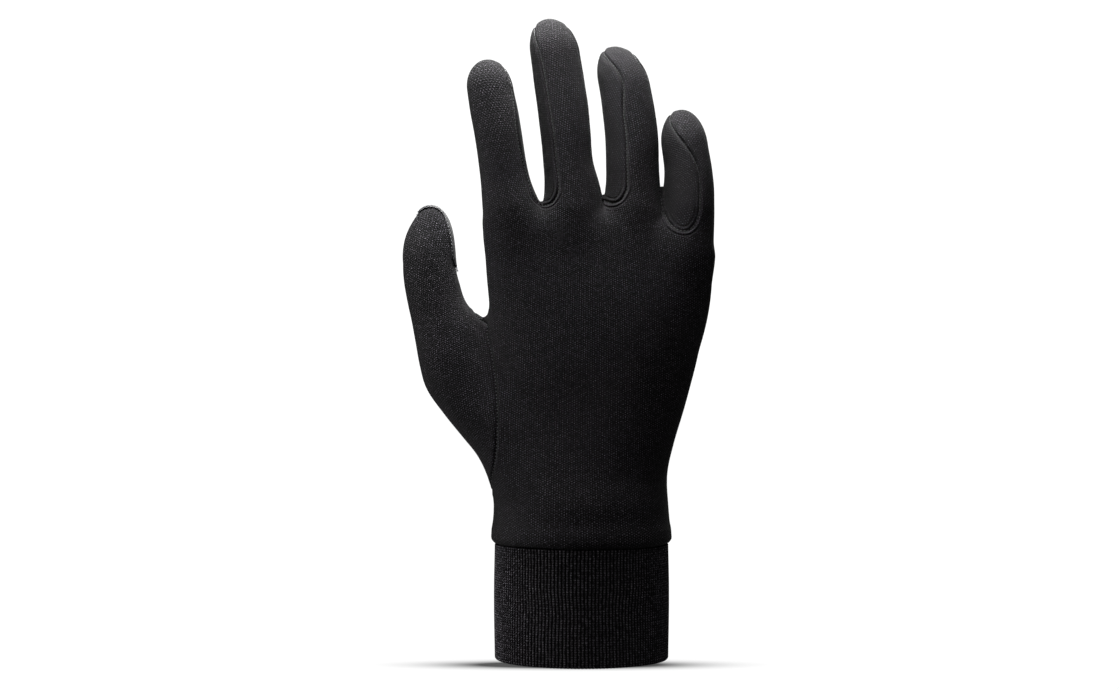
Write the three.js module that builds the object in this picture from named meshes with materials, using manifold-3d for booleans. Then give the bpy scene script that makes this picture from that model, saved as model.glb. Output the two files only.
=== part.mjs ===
// A knitted glove liner for the right hand, filled out as it is when worn and standing on its cuff.
// It is cut and sewn from a back panel, a palm panel, a thumb piece, three fourchettes (the gussets
// between the fingers) and a doubled rib cuff, with a touch patch sewn over the thumb's pulp.
// Millimetres. +Z runs to the fingertips, +X to the little finger, and the back of the hand faces -Y.
// The origin is the centre of the cuff's open end, where the wrist goes in.
import * as THREE from "three";
import { mergeVertices } from "three/addons/utils/BufferGeometryUtils.js";
import Module from "manifold-3d";

const wasm = await Module();
wasm.setup();

// Cloth
const KNIT_WALL = 1.2;
const SEAM_GAP = 0.3;

// Rib cuff, an oval band of doubled knit folded over at its open end
const CUFF_WIDTH = 69.4;
const CUFF_DEPTH = 52;
const CUFF_HEIGHT = 46;
const CUFF_WALL = 2.2;
const RIB_PITCH = 1.3;
const RIB_RELIEF = 0.4;
const CUFF_FOLD_RADIUS = 1;

// Hand
const PALM_WIDTH = 91;
const PALM_DEPTH = 34;
const PALM_LENGTH = 137;
const LIP_OVERHANG = 1.4;
const LIP_HEIGHT = 4;
const KNUCKLE_DOME = 12;
const KNUCKLE_SLOPE = -0.14;
const KNUCKLE_SLOPE_FROM = 0.5;

// Height of the turn that a fourchette's seam makes in the crotch
const CROTCH_ROUND = 8;

// Touch patch
const PATCH_THICKNESS = 0.7;

// How finely the cloth is faceted
const PALM_COLUMNS = { outside: 32, inside: 16 };
const DIGIT_COLUMNS = { outside: 16, inside: 8 };
const PALM_STEPS = { outside: 9, inside: 7 };
const DIGIT_STEPS = { outside: 8, inside: 5 };
const DOME_STEPS = { outside: 4, inside: 2 };
const CUFF_COLUMNS = 48;
const SEAM_STEPS = { crotch: 4, fourchette: 9, side: 11, thumb: 14, patch: 8 };

// The digits. length runs from the root, inside the palm, to the tip. curl is how far the tip bends
// towards the palm, and dome is the height of the rounded end. across and rise place the root, as
// shares of PALM_WIDTH from the axis and of PALM_LENGTH from the cuff. In sections, up and side are
// shares of length, back of curl, wide of width and deep of depth.
const DIGITS = {
  thumb: {
    length: 112.1,
    width: 22,
    depth: 20,
    curl: 18,
    dome: 22,
    across: -0.242,
    rise: 0.175,
    setBack: 2,
    tipSide: -0.353,
    sections: [
      { up: 0.0, side: 0.010, back: 0.0, wide: 0.9, deep: 1.3 },
      { up: 0.08, side: -0.026, back: 0.05, wide: 1.31, deep: 1.5 },
      { up: 0.16, side: -0.077, back: 0.11, wide: 1.52, deep: 1.62 },
      { up: 0.25, side: -0.143, back: 0.17, wide: 1.62, deep: 1.62 },
      { up: 0.33, side: -0.200, back: 0.24, wide: 1.62, deep: 1.55 },
      { up: 0.42, side: -0.239, back: 0.3, wide: 1.51, deep: 1.46 },
      { up: 0.51, side: -0.271, back: 0.37, wide: 1.36, deep: 1.33 },
      { up: 0.59, side: -0.296, back: 0.43, wide: 1.26, deep: 1.21 },
      { up: 0.64, side: -0.322, back: 0.48, wide: 1.11, deep: 1.14 },
      { up: 0.72, side: -0.345, back: 0.56, wide: 1.0, deep: 1.08 },
      { up: 0.79, side: -0.357, back: 0.64, wide: 0.93, deep: 1.03 },
    ],
  },
  index: {
    length: 81.6,
    width: 19.4,
    depth: 18.4,
    curl: 11,
    dome: 13,
    across: -0.274,
    rise: 0.83,
    setBack: -1,
    tipSide: -0.157,
    sections: [
      { up: 0.0, side: 0.000, back: 0.0, wide: 1.26, deep: 1.0 },
      { up: 0.13, side: -0.010, back: 0.03, wide: 1.35, deep: 1.26 },
      { up: 0.23, side: -0.026, back: 0.06, wide: 1.28, deep: 1.22 },
      { up: 0.3, side: -0.043, back: 0.09, wide: 1.17, deep: 1.14 },
      { up: 0.37, side: -0.059, back: 0.12, wide: 1.07, deep: 1.05 },
      { up: 0.47, side: -0.078, back: 0.2, wide: 1.01, deep: 1.01 },
      { up: 0.63, side: -0.105, back: 0.37, wide: 0.99, deep: 1.0 },
      { up: 0.75, side: -0.126, back: 0.55, wide: 1.0, deep: 0.99 },
      { up: 0.84, side: -0.143, back: 0.71, wide: 0.97, deep: 0.97 },
    ],
  },
  middle: {
    length: 98.9,
    width: 20.8,
    depth: 19.4,
    curl: 17,
    dome: 14.5,
    across: -0.036,
    rise: 0.83,
    setBack: -1,
    tipSide: -0.097,
    sections: [
      { up: 0.0, side: 0.000, back: 0.0, wide: 1.4, deep: 1.0 },
      { up: 0.11, side: -0.002, back: 0.01, wide: 1.36, deep: 1.22 },
      { up: 0.19, side: -0.002, back: 0.03, wide: 1.25, deep: 1.18 },
      { up: 0.25, side: -0.002, back: 0.06, wide: 1.15, deep: 1.1 },
      { up: 0.31, side: -0.008, back: 0.09, wide: 1.08, deep: 1.04 },
      { up: 0.39, side: -0.021, back: 0.15, wide: 1.0, deep: 1.01 },
      { up: 0.52, side: -0.032, back: 0.27, wide: 0.99, deep: 1.0 },
      { up: 0.65, side: -0.046, back: 0.44, wide: 1.01, deep: 1.0 },
      { up: 0.75, side: -0.061, back: 0.59, wide: 1.01, deep: 0.99 },
      { up: 0.85, side: -0.076, back: 0.73, wide: 0.98, deep: 0.96 },
    ],
  },
  ring: {
    length: 90.4,
    width: 22,
    depth: 19.6,
    curl: 19.5,
    dome: 16.5,
    across: 0.221,
    rise: 0.815,
    setBack: -0.5,
    tipSide: -0.068,
    sections: [
      { up: 0.0, side: 0.000, back: 0.0, wide: 1.26, deep: 1.0 },
      { up: 0.12, side: 0.002, back: 0.02, wide: 1.26, deep: 1.22 },
      { up: 0.21, side: 0.005, back: 0.05, wide: 1.19, deep: 1.18 },
      { up: 0.29, side: 0.005, back: 0.09, wide: 1.07, deep: 1.08 },
      { up: 0.36, side: 0.005, back: 0.13, wide: 1.01, deep: 1.03 },
      { up: 0.45, side: 0.002, back: 0.19, wide: 0.99, deep: 1.01 },
      { up: 0.56, side: 0.000, back: 0.3, wide: 0.99, deep: 1.0 },
      { up: 0.67, side: -0.010, back: 0.44, wide: 0.99, deep: 0.99 },
      { up: 0.82, side: -0.032, back: 0.65, wide: 0.98, deep: 0.97 },
    ],
  },
  little: {
    length: 71.1,
    width: 19.2,
    depth: 18,
    curl: 14,
    dome: 15,
    across: 0.437,
    rise: 0.76,
    setBack: 0,
    tipSide: 0.016,
    sections: [
      { up: 0.0, side: 0.000, back: 0.0, wide: 1.2, deep: 1.0 },
      { up: 0.14, side: 0.008, back: 0.0, wide: 1.29, deep: 1.3 },
      { up: 0.25, side: 0.016, back: 0.02, wide: 1.25, deep: 1.22 },
      { up: 0.35, side: 0.030, back: 0.07, wide: 1.16, deep: 1.12 },
      { up: 0.45, side: 0.041, back: 0.14, wide: 1.09, deep: 1.06 },
      { up: 0.54, side: 0.043, back: 0.24, wide: 1.07, deep: 1.02 },
      { up: 0.63, side: 0.043, back: 0.35, wide: 1.01, deep: 1.0 },
      { up: 0.79, side: 0.027, back: 0.6, wide: 0.99, deep: 0.98 },
    ],
  },
};

// The lip that blouses over the cuff. rise is a share of LIP_HEIGHT and out of LIP_OVERHANG.
const LIP_SECTIONS = [
  { rise: 0, out: 0.15 },
  { rise: 0.25, out: 0.8 },
  { rise: 1, out: 1 },
  { rise: 2.3, out: 0.4 },
  { rise: 4, out: 0 },
];

// The wrist above the lip, and the palm. rise is a share of PALM_LENGTH from the cuff, left and right
// of PALM_WIDTH, and near and far of PALM_DEPTH. square is the oval's exponent, 2 for an ellipse.
const PALM_SECTIONS = [
  { rise: 0.2, left: -0.4, right: 0.376, near: -0.68, far: 0.74, square: 2.1 },
  { rise: 0.29, left: -0.391, right: 0.404, near: -0.62, far: 0.72, square: 2.2 },
  { rise: 0.39, left: -0.396, right: 0.451, near: -0.57, far: 0.68, square: 2.3 },
  { rise: 0.5, left: -0.4, right: 0.495, near: -0.54, far: 0.62, square: 2.4 },
  { rise: 0.61, left: -0.404, right: 0.532, near: -0.51, far: 0.56, square: 2.5 },
  { rise: 0.72, left: -0.407, right: 0.56, near: -0.46, far: 0.5, square: 2.7 },
  { rise: 0.82, left: -0.413, right: 0.578, near: -0.39, far: 0.42, square: 2.9 },
  { rise: 0.89, left: -0.421, right: 0.58, near: -0.33, far: 0.35, square: 3 },
];

// Each fourchette lies between two digits. bottom is where its seam turns in the crotch: across is a
// share of PALM_WIDTH, up of the left digit's length from its root, and round of CROTCH_ROUND.
// leftSeam and rightSeam place the seam on each digit, as a share of its half-width from its centre
// line: at the crotch, halfway up and near the tip.
const FOURCHETTES = {
  fourchette_index_middle: {
    left: "index",
    right: "middle",
    back: {
      bottom: { across: -0.152, up: 0.26, round: 1 },
      leftSeam: [0.88, 0.8, 1.0],
      rightSeam: [-0.45, -0.52, -0.72],
    },
    palm: {
      bottom: { across: -0.155, up: 0.26, round: 0.9 },
      leftSeam: [0.75, 0.78, 0.85],
      rightSeam: [-0.8, -0.84, -0.9],
    },
  },
  fourchette_middle_ring: {
    left: "middle",
    right: "ring",
    back: {
      bottom: { across: 0.136, up: 0.22, round: 1 },
      leftSeam: [1.03, 1.06, 1.06],
      rightSeam: [-0.22, -0.23, -0.36],
    },
    palm: {
      bottom: { across: 0.13, up: 0.22, round: 0.9 },
      leftSeam: [0.55, 0.6, 0.75],
      rightSeam: [-0.86, -0.9, -0.94],
    },
  },
  fourchette_ring_little: {
    left: "ring",
    right: "little",
    back: {
      bottom: { across: 0.446, up: 0.14, round: 1.4 },
      leftSeam: [0.97, 1.06, 1.06],
      rightSeam: [0.42, 0.28, -0.72],
    },
    palm: {
      bottom: { across: 0.37, up: 0.205, round: 1 },
      leftSeam: [0.5, 0.55, 0.75],
      rightSeam: [-0.95, -0.95, -0.97],
    },
  },
};

// The heights of those three places, as shares of the seam, and its end past the digit's side.
const SEAM_HEIGHTS = [0, 0.45, 0.85, 0.97];
const SEAM_END = 1.03;
const SEAM_MIN_WIDTH = 0.25;

// The side seam between back and palm lies this far behind the digits' centre lines.
const SIDE_SEAM_SET_BACK = 3;

// The thumb piece ends at this seam on the back and on the palm, across as a share of PALM_WIDTH.
const THUMB_SEAM = [
  { rise: 0.13, back: -0.42, palm: -0.42 },
  { rise: 0.18, back: -0.4, palm: -0.36 },
  { rise: 0.25, back: -0.377, palm: -0.27 },
  { rise: 0.33, back: -0.366, palm: -0.18 },
  { rise: 0.43, back: -0.37, palm: -0.14 },
  { rise: 0.53, back: -0.388, palm: -0.2 },
  { rise: 0.62, back: -0.424, palm: -0.37 },
  { rise: 0.66, back: -0.455, palm: -0.455 },
  { rise: 0.76, back: -0.472, palm: -0.472 },
  { rise: 1.1, back: -0.53, palm: -0.53 },
];

// The touch patch's edge on the thumb. up is a share of the thumb's length, and back and palm are
// the edge's place on each side, as a share of the thumb's width from its tip.
const PATCH_EDGE = [
  { up: 0.775, back: 0.42, palm: 0.1 },
  { up: 0.8, back: 0.36, palm: -0.2 },
  { up: 0.87, back: 0.3, palm: -0.34 },
  { up: 0.94, back: 0.2, palm: -0.3 },
  { up: 1.02, back: 0.04, palm: -0.1 },
];

// How far the cutting shapes pass one another where the back meets the palm, pass the fingertips,
// and reach beyond the glove.
const FACE_OVERLAP = 1.5;
const TIP_CLEARANCE = 4;
const FAR = 200;

// A smooth curve through the rows of a table, as a function of its first column.
function smooth(rows, key) {
  const names = Object.keys(rows[0]);
  const curve = new THREE.CubicInterpolant(
    rows.map((row) => row[key]),
    rows.flatMap((row) => names.map((name) => row[name])),
    names.length,
  );
  const first = rows[0][key];
  const last = rows[rows.length - 1][key];
  return (place) => {
    const values = curve.evaluate(THREE.MathUtils.clamp(place, first, last));
    return Object.fromEntries(names.map((name, i) => [name, values[i]]));
  };
}

// Evenly spaced values from first to last, both included.
function spread(first, last, steps) {
  return Array.from({ length: steps + 1 }, (_, i) => THREE.MathUtils.lerp(first, last, i / steps));
}

// One closed oval ring. near and far are its depths on either side of y.
function oval({ x, y, z, wide, near, far, square = 2, slope = 0 }, columns) {
  return Array.from({ length: columns }, (_, i) => {
    const angle = (2 * Math.PI * i) / columns;
    const [c, s] = [Math.cos(angle), Math.sin(angle)];
    const across = wide * Math.sign(c) * Math.abs(c) ** (2 / square);
    const depth = (s < 0 ? near : far) * Math.sign(s) * Math.abs(s) ** (2 / square);
    return new THREE.Vector3(x + across, y + depth, z + slope * (x + across));
  });
}

// A solid lofted through rings of equally many points, anticlockwise seen from above. Its ends are
// closed to a point each.
function loft(rings, bottom, top) {
  const columns = rings[0].length;
  const points = [...rings.flat(), bottom, top];
  const bottomPoint = points.length - 2;
  const topPoint = points.length - 1;
  const at = (row, column) => row * columns + (column % columns);
  const faces = [];
  for (let column = 0; column < columns; column++) {
    faces.push(bottomPoint, at(0, column + 1), at(0, column));
    for (let row = 0; row + 1 < rings.length; row++) {
      faces.push(at(row, column), at(row, column + 1), at(row + 1, column + 1));
      faces.push(at(row, column), at(row + 1, column + 1), at(row + 1, column));
    }
    faces.push(topPoint, at(rings.length - 1, column), at(rings.length - 1, column + 1));
  }
  return solid(new THREE.BufferGeometry().setFromPoints(points).setIndex(faces));
}

function middleOf(ring) {
  const sum = ring.reduce((total, point) => total.add(point), new THREE.Vector3());
  return sum.divideScalar(ring.length);
}

// A solid through four-cornered rows, near and far being their depths.
function block(rows) {
  const rings = rows.map(({ z, left, right, near, far }) => [
    new THREE.Vector3(left, near, z),
    new THREE.Vector3(right, near, z),
    new THREE.Vector3(right, far, z),
    new THREE.Vector3(left, far, z),
  ]);
  return loft(rings, middleOf(rings[0]), middleOf(rings[rings.length - 1]));
}

function solid(geometry) {
  const merged = mergeVertices(geometry, 1e-4);
  return new wasm.Manifold(
    new wasm.Mesh({
      numProp: 3,
      vertProperties: merged.attributes.position.array,
      triVerts: new Uint32Array(merged.index.array),
    }),
  );
}

const joined = (solids) => solids.reduce((total, next) => total.add(next));

// Where a digit's section is, by its share of the digit's length.
function digitPlace(name) {
  const digit = DIGITS[name];
  const at = smooth(digit.sections, "up");
  const rootX = digit.across * PALM_WIDTH;
  const rootZ = CUFF_HEIGHT + digit.rise * PALM_LENGTH;
  const shoulder = 1 - digit.dome / digit.length;
  const tip = new THREE.Vector3(
    rootX + digit.tipSide * digit.length,
    digit.setBack + digit.curl,
    rootZ + digit.length,
  );
  const section = (up) => {
    const row = at(Math.min(up, shoulder));
    const place = {
      x: rootX + row.side * digit.length,
      y: digit.setBack + row.back * digit.curl,
      z: rootZ + Math.min(up, shoulder) * digit.length,
      wide: (row.wide * digit.width) / 2,
      deep: (row.deep * digit.depth) / 2,
    };
    if (up <= shoulder) return place;
    const over = THREE.MathUtils.clamp((up - shoulder) / (1 - shoulder), 0, 1);
    const shrink = Math.sqrt(1 - over * over);
    return {
      x: THREE.MathUtils.lerp(place.x, tip.x, over),
      y: THREE.MathUtils.lerp(place.y, tip.y, over),
      z: THREE.MathUtils.lerp(place.z, tip.z, over),
      wide: place.wide * shrink,
      deep: place.deep * shrink,
    };
  };
  const upAt = (z) => THREE.MathUtils.clamp((z - rootZ) / digit.length, 0, 1);
  return { digit, rootZ, shoulder, tip, section, atHeight: (z) => section(upAt(z)) };
}

// A digit as one solid, its surface moved outwards by grow.
function digitForm(name, grow, detail) {
  const { shoulder, tip, section, digit } = digitPlace(name);
  const columns = DIGIT_COLUMNS[detail];
  const ring = ({ x, y, z, wide, deep }, lift = 0, shrink = 1) => {
    const depth = deep + grow * shrink;
    return oval({ x, y, z: z + lift, wide: wide + grow * shrink, near: depth, far: depth }, columns);
  };
  const rings = spread(0, shoulder, DIGIT_STEPS[detail]).map((up) => ring(section(up)));
  for (const turn of spread(0, Math.PI / 2, DOME_STEPS[detail]).slice(1, -1)) {
    const up = shoulder + Math.sin(turn) * (digit.dome / digit.length);
    rings.push(ring(section(up), grow * Math.sin(turn), Math.cos(turn)));
  }
  const end = tip.clone().setZ(tip.z + grow);
  return loft(rings, middleOf(rings[0]), end);
}

// The lip's, wrist's and palm's outlines in one table, in millimetres but for rise.
function palmRows() {
  const lip = LIP_SECTIONS.map(({ rise, out }) => ({
    rise: (SEAM_GAP + rise * LIP_HEIGHT) / PALM_LENGTH,
    left: -CUFF_WIDTH / 2 - out * LIP_OVERHANG,
    right: CUFF_WIDTH / 2 + out * LIP_OVERHANG,
    near: -CUFF_DEPTH / 2 - out * LIP_OVERHANG,
    far: CUFF_DEPTH / 2 + out * LIP_OVERHANG,
    square: 2,
  }));
  const palm = PALM_SECTIONS.map(({ rise, left, right, near, far, square }) => ({
    rise,
    left: left * PALM_WIDTH,
    right: right * PALM_WIDTH,
    near: near * PALM_DEPTH,
    far: far * PALM_DEPTH,
    square,
  }));
  return [...lip, ...palm];
}

// The palm and wrist as one solid, from the lip to the knuckles. Its hollow runs out below the lip.
function palmForm(grow, detail) {
  const rows = palmRows();
  const at = smooth(rows, "rise");
  const last = rows[rows.length - 1].rise;
  const lipRises = rows.slice(0, LIP_SECTIONS.length - 1).map((row) => row.rise);
  const rises = [...lipRises, ...spread(rows[LIP_SECTIONS.length - 1].rise, last, PALM_STEPS[detail])];
  const ring = (rise, z, shrink = 1) => {
    const { left, right, near, far, square } = at(rise);
    const section = {
      x: (left + right) / 2,
      y: 0,
      z,
      wide: (shrink * (right - left)) / 2 + grow,
      near: grow - shrink * near,
      far: grow + shrink * far,
      square,
      slope: knuckleSlope(rise, last),
    };
    return oval(section, PALM_COLUMNS[detail]);
  };
  const rings = rises.map((rise) => ring(rise, CUFF_HEIGHT + rise * PALM_LENGTH));
  if (grow < 0) rings.unshift(ring(rises[0], 0));
  const knuckles = CUFF_HEIGHT + last * PALM_LENGTH;
  for (const turn of spread(0, Math.PI / 2, DOME_STEPS[detail]).slice(1, -1)) {
    rings.push(ring(last, knuckles + Math.sin(turn) * (KNUCKLE_DOME + grow), Math.cos(turn)));
  }
  const top = middleOf(rings[rings.length - 1]);
  top.z = knuckles + KNUCKLE_DOME + grow + knuckleSlope(last, last) * top.x;
  return loft(rings, middleOf(rings[0]), top);
}

// The sections lean down to the little finger towards the knuckles.
function knuckleSlope(rise, last) {
  return KNUCKLE_SLOPE * THREE.MathUtils.smoothstep(rise, KNUCKLE_SLOPE_FROM, last);
}

// The seam's place across a digit at a height, on its side towards the neighbour.
function seamAcross(name, seam, side, z, foot) {
  const place = digitPlace(name);
  const share = THREE.MathUtils.clamp((z - foot) / (place.tip.z - foot), 0, 1);
  const rows = [...seam, side * SEAM_END].map((across, i) => ({ share: SEAM_HEIGHTS[i], across }));
  const { across } = smooth(rows, "share")(share);
  const section = place.atHeight(z);
  return section.x + across * Math.max(section.wide, SEAM_MIN_WIDTH * place.digit.width);
}

// The space that a fourchette's seam encloses on one face of the glove. grow widens it.
function tongue({ left, right }, { bottom, leftSeam, rightSeam }, face, grow) {
  const [before, after] = [digitPlace(left), digitPlace(right)];
  const round = bottom.round * CROTCH_ROUND;
  const crown = before.rootZ + bottom.up * before.digit.length + round;
  const top = Math.max(before.tip.z, after.tip.z) + TIP_CLEARANCE;
  const heights = [
    ...spread(0, Math.PI / 2, SEAM_STEPS.crotch).map((turn) => crown - round * Math.cos(turn)),
    ...spread(crown, top, SEAM_STEPS.fourchette).slice(1),
  ];
  const centre = bottom.across * PALM_WIDTH;
  const rows = heights.map((z) => {
    const fill = Math.sqrt(1 - THREE.MathUtils.clamp((crown - z) / round, 0, 1) ** 2);
    const from = Math.max(z, crown);
    const leftX = seamAcross(left, leftSeam, 1, from, crown);
    const rightX = seamAcross(right, rightSeam, -1, from, crown);
    const middles = [before.atHeight(z).y, after.atHeight(z).y];
    return {
      z: z - grow,
      left: centre + (leftX - centre) * fill - grow,
      right: centre + (rightX - centre) * fill + grow,
      near: face === "back" ? -FAR : Math.min(...middles) - FACE_OVERLAP - grow,
      far: face === "back" ? Math.max(...middles) + SIDE_SEAM_SET_BACK + FACE_OVERLAP + grow : FAR,
    };
  });
  return block(rows);
}

function fourchetteSpace(fourchette, grow) {
  return tongue(fourchette, fourchette.back, "back", grow).add(
    tongue(fourchette, fourchette.palm, "palm", grow),
  );
}

// Everything on the palm's side of the side seam, which follows each finger's bend.
function palmSide(shift) {
  const fingers = Object.keys(DIGITS).filter((name) => name !== "thumb");
  const places = fingers.map(digitPlace);
  const parting = (i, z) => (places[i].atHeight(z).x + places[i + 1].atHeight(z).x) / 2;
  const low = Math.min(...places.map((place) => place.rootZ));
  const high = Math.max(...places.map((place) => place.tip.z)) + TIP_CLEARANCE;
  const behind = places.map((place, i) =>
    block(
      spread(low, high, SEAM_STEPS.side).map((z) => ({
        z,
        left: i === 0 ? -FAR : parting(i - 1, z) - SEAM_GAP,
        right: i + 1 === places.length ? FAR : parting(i, z) + SEAM_GAP,
        near: place.atHeight(z).y + SIDE_SEAM_SET_BACK + shift,
        far: FAR,
      })),
    ),
  );
  const palmRow = (z) => ({ z, left: -FAR, right: FAR, near: SIDE_SEAM_SET_BACK + shift, far: FAR });
  return joined([block([palmRow(-FAR), palmRow(low + SEAM_GAP)]), ...behind]);
}

// The space left of the thumb's seam, on the back and on the palm.
function thumbSpace(grow) {
  const at = smooth(THUMB_SEAM, "rise");
  const rises = spread(THUMB_SEAM[0].rise, THUMB_SEAM[THUMB_SEAM.length - 1].rise, SEAM_STEPS.thumb);
  const side = (face) =>
    block(
      rises.map((rise) => ({
        z: CUFF_HEIGHT + rise * PALM_LENGTH,
        left: -FAR,
        right: at(rise)[face] * PALM_WIDTH + grow,
        near: face === "back" ? -FAR : -FACE_OVERLAP,
        far: face === "back" ? FACE_OVERLAP : FAR,
      })),
    );
  return side("back").add(side("palm"));
}

// The touch patch, a skin over the thumb's end within its sewn edge.
function thumbTipPatch() {
  const { digit, tip, rootZ, atHeight } = digitPlace("thumb");
  const at = smooth(PATCH_EDGE, "up");
  const ups = spread(PATCH_EDGE[0].up, PATCH_EDGE[PATCH_EDGE.length - 1].up, SEAM_STEPS.patch);
  const side = (face) =>
    block(
      ups.map((up) => {
        const z = rootZ + up * digit.length;
        const { y } = atHeight(z);
        return {
          z,
          left: tip.x + at(up)[face] * digit.width,
          right: FAR,
          near: face === "back" ? -FAR : y - FACE_OVERLAP,
          far: face === "back" ? y + FACE_OVERLAP : FAR,
        };
      }),
    );
  const outer = digitForm("thumb", SEAM_GAP + PATCH_THICKNESS, "outside");
  const skin = outer.subtract(digitForm("thumb", SEAM_GAP, "outside"));
  return skin.intersect(side("back").add(side("palm")));
}

// The cuff, an oval band ribbed on the outside, with a rounded fold at the open end.
function ribCuff() {
  const [wide, deep] = [CUFF_WIDTH / 2, CUFF_DEPTH / 2];
  const around = Math.PI * (3 * (wide + deep) - Math.sqrt((3 * wide + deep) * (wide + 3 * deep)));
  const ribs = Math.round(around / RIB_PITCH);
  const fold = CUFF_FOLD_RADIUS;
  const ribbed = (inset, z) =>
    Array.from({ length: 2 * ribs }, (_, i) => {
      const angle = (Math.PI * i) / ribs;
      const sunk = inset + (i % 2 ? RIB_RELIEF : 0);
      return new THREE.Vector3((wide - sunk) * Math.cos(angle), (deep - sunk) * Math.sin(angle), z);
    });
  const plain = (inset, z) => {
    const depth = deep - inset;
    return oval({ x: 0, y: 0, z, wide: wide - inset, near: depth, far: depth }, CUFF_COLUMNS);
  };
  const column = (rings) => loft(rings, middleOf(rings[0]), middleOf(rings[rings.length - 1]));
  const outside = column([ribbed(fold, 0), ribbed(0, fold), ribbed(0, CUFF_HEIGHT)]);
  const inside = column([
    plain(CUFF_WALL - fold, -fold),
    plain(CUFF_WALL - fold, 0),
    plain(CUFF_WALL, fold),
    plain(CUFF_WALL, CUFF_HEIGHT + fold),
  ]);
  return outside.subtract(inside);
}

// The knitted shell, cut into its panels along the seams.
function panels() {
  const digits = Object.keys(DIGITS);
  const form = (grow, detail) =>
    joined([palmForm(grow, detail), ...digits.map((name) => digitForm(name, grow, detail))]);
  const shell = form(0, "outside").subtract(form(-KNIT_WALL, "inside"));
  const fourchettes = Object.entries(FOURCHETTES);
  const gussets = joined(fourchettes.map(([, seams]) => fourchetteSpace(seams, SEAM_GAP)));
  const trunk = shell.subtract(gussets).subtract(thumbSpace(SEAM_GAP));
  const cut = {
    back_panel: trunk.subtract(palmSide(-SEAM_GAP / 2)),
    palm_panel: trunk.intersect(palmSide(SEAM_GAP / 2)),
    thumb_piece: shell.intersect(thumbSpace(0)),
  };
  for (const [name, seams] of fourchettes) cut[name] = shell.intersect(fourchetteSpace(seams, 0));
  return cut;
}

function cloth(color, roughness) {
  return new THREE.MeshStandardMaterial({ color, roughness, metalness: 0 });
}

function meshOf(name, piece, material) {
  const { numVert, numProp, vertProperties, triVerts } = piece.getMesh();
  const positions = new Float32Array(numVert * 3);
  for (let i = 0; i < numVert; i++) {
    positions.set(vertProperties.subarray(i * numProp, i * numProp + 3), i * 3);
  }
  const geometry = new THREE.BufferGeometry();
  geometry.setAttribute("position", new THREE.BufferAttribute(positions, 3));
  geometry.setIndex(new THREE.BufferAttribute(triVerts, 1));
  geometry.computeVertexNormals();
  const mesh = new THREE.Mesh(geometry, material);
  mesh.name = name;
  return mesh;
}

const bodyKnit = cloth(0x1d1b1f, 0.9);
const glove = new THREE.Group();
glove.name = "glove_liner";
for (const [name, piece] of Object.entries(panels())) glove.add(meshOf(name, piece, bodyKnit.clone()));
glove.add(meshOf("rib_cuff", ribCuff(), cloth(0x161418, 0.95)));
glove.add(meshOf("thumb_tip_patch", thumbTipPatch(), cloth(0x2c2b2e, 0.55)));

export default glove;
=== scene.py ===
import math

import bpy
import numpy as np
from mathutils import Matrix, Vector, kdtree, noise


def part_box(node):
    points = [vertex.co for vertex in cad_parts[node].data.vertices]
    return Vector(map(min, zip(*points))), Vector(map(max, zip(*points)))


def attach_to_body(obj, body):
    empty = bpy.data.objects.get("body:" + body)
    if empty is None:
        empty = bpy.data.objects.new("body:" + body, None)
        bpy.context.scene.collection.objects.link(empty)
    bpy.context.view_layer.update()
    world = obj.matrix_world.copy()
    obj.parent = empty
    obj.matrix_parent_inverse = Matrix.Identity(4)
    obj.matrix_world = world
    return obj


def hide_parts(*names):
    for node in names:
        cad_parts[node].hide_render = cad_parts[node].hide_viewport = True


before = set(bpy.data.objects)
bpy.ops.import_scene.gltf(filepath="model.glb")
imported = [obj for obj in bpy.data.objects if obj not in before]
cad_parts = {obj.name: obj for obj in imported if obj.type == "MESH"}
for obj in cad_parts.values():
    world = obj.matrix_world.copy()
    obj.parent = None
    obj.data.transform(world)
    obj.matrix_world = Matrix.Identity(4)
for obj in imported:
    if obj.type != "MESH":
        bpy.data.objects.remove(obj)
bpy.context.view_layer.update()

# The knitted glove liner, in millimetres until its meshes are made. +Z runs to the fingertips,
# +X to the little finger, and the back of the hand faces -Y.
MM = 0.001


def box_mm(node):
    low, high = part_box(node)
    return np.array(low) / MM, np.array(high) / MM


CUFF_LOW, CUFF_HIGH = box_mm("rib_cuff")
CUFF_WIDTH = CUFF_HIGH[0] - CUFF_LOW[0]
CUFF_DEPTH = CUFF_HIGH[1] - CUFF_LOW[1]
CUFF_HEIGHT = CUFF_HIGH[2]

# Hand
PALM_WIDTH = 91
PALM_DEPTH = 34
PALM_LENGTH = 137
LIP_OVERHANG = 1.4
LIP_HEIGHT = 4
LIP_GAP = 0.4
KNUCKLE_DOME = 12
KNUCKLE_SLOPE = -0.14

# Cloth
WALL = 1.1
KNIT_PITCH = 0.93
SEAM_DEPTH = 0.55
SEAM_REACH = 0.55
SEAM_FAR = 6
ROLL_HEIGHT = 0.12
ROLL_PLACE = 1.7
ROLL_WIDTH = 0.9
SLACK_BROAD = 0.45
SLACK_BROAD_SIZE = (21, 30)
SLACK_FINE = 0.12
SLACK_FINE_SIZE = (8, 11)
SLACK_SHIFT = 7

# Grid that the cloth's surface is drawn on
STEP = 0.9
MARGIN = 5
WRIST_CUT = 0.35
SETTLE_ROUNDS = 3
FIELD_ROUNDS = 6

# How softly the digits run into the palm, the thumb into the palm, and each other
PALM_BLEND = 3.5
THUMB_BLEND = (7, 11.5)
THUMB_BLEND_RISE = (15, 60)
ROOT_DOME = 28
FINGER_BLEND = 1.3

# Where and how far the cloth is drawn evenly over the knuckles
EASE_BELOW = 45
EASE_ABOVE = 12
EASE_FADE_BELOW = 15
EASE_FADE_ABOVE = 8
EASE_FACING = 0.45
EASE_FACING_FADE = 0.3
EASE_ROUNDS = 90

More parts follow.
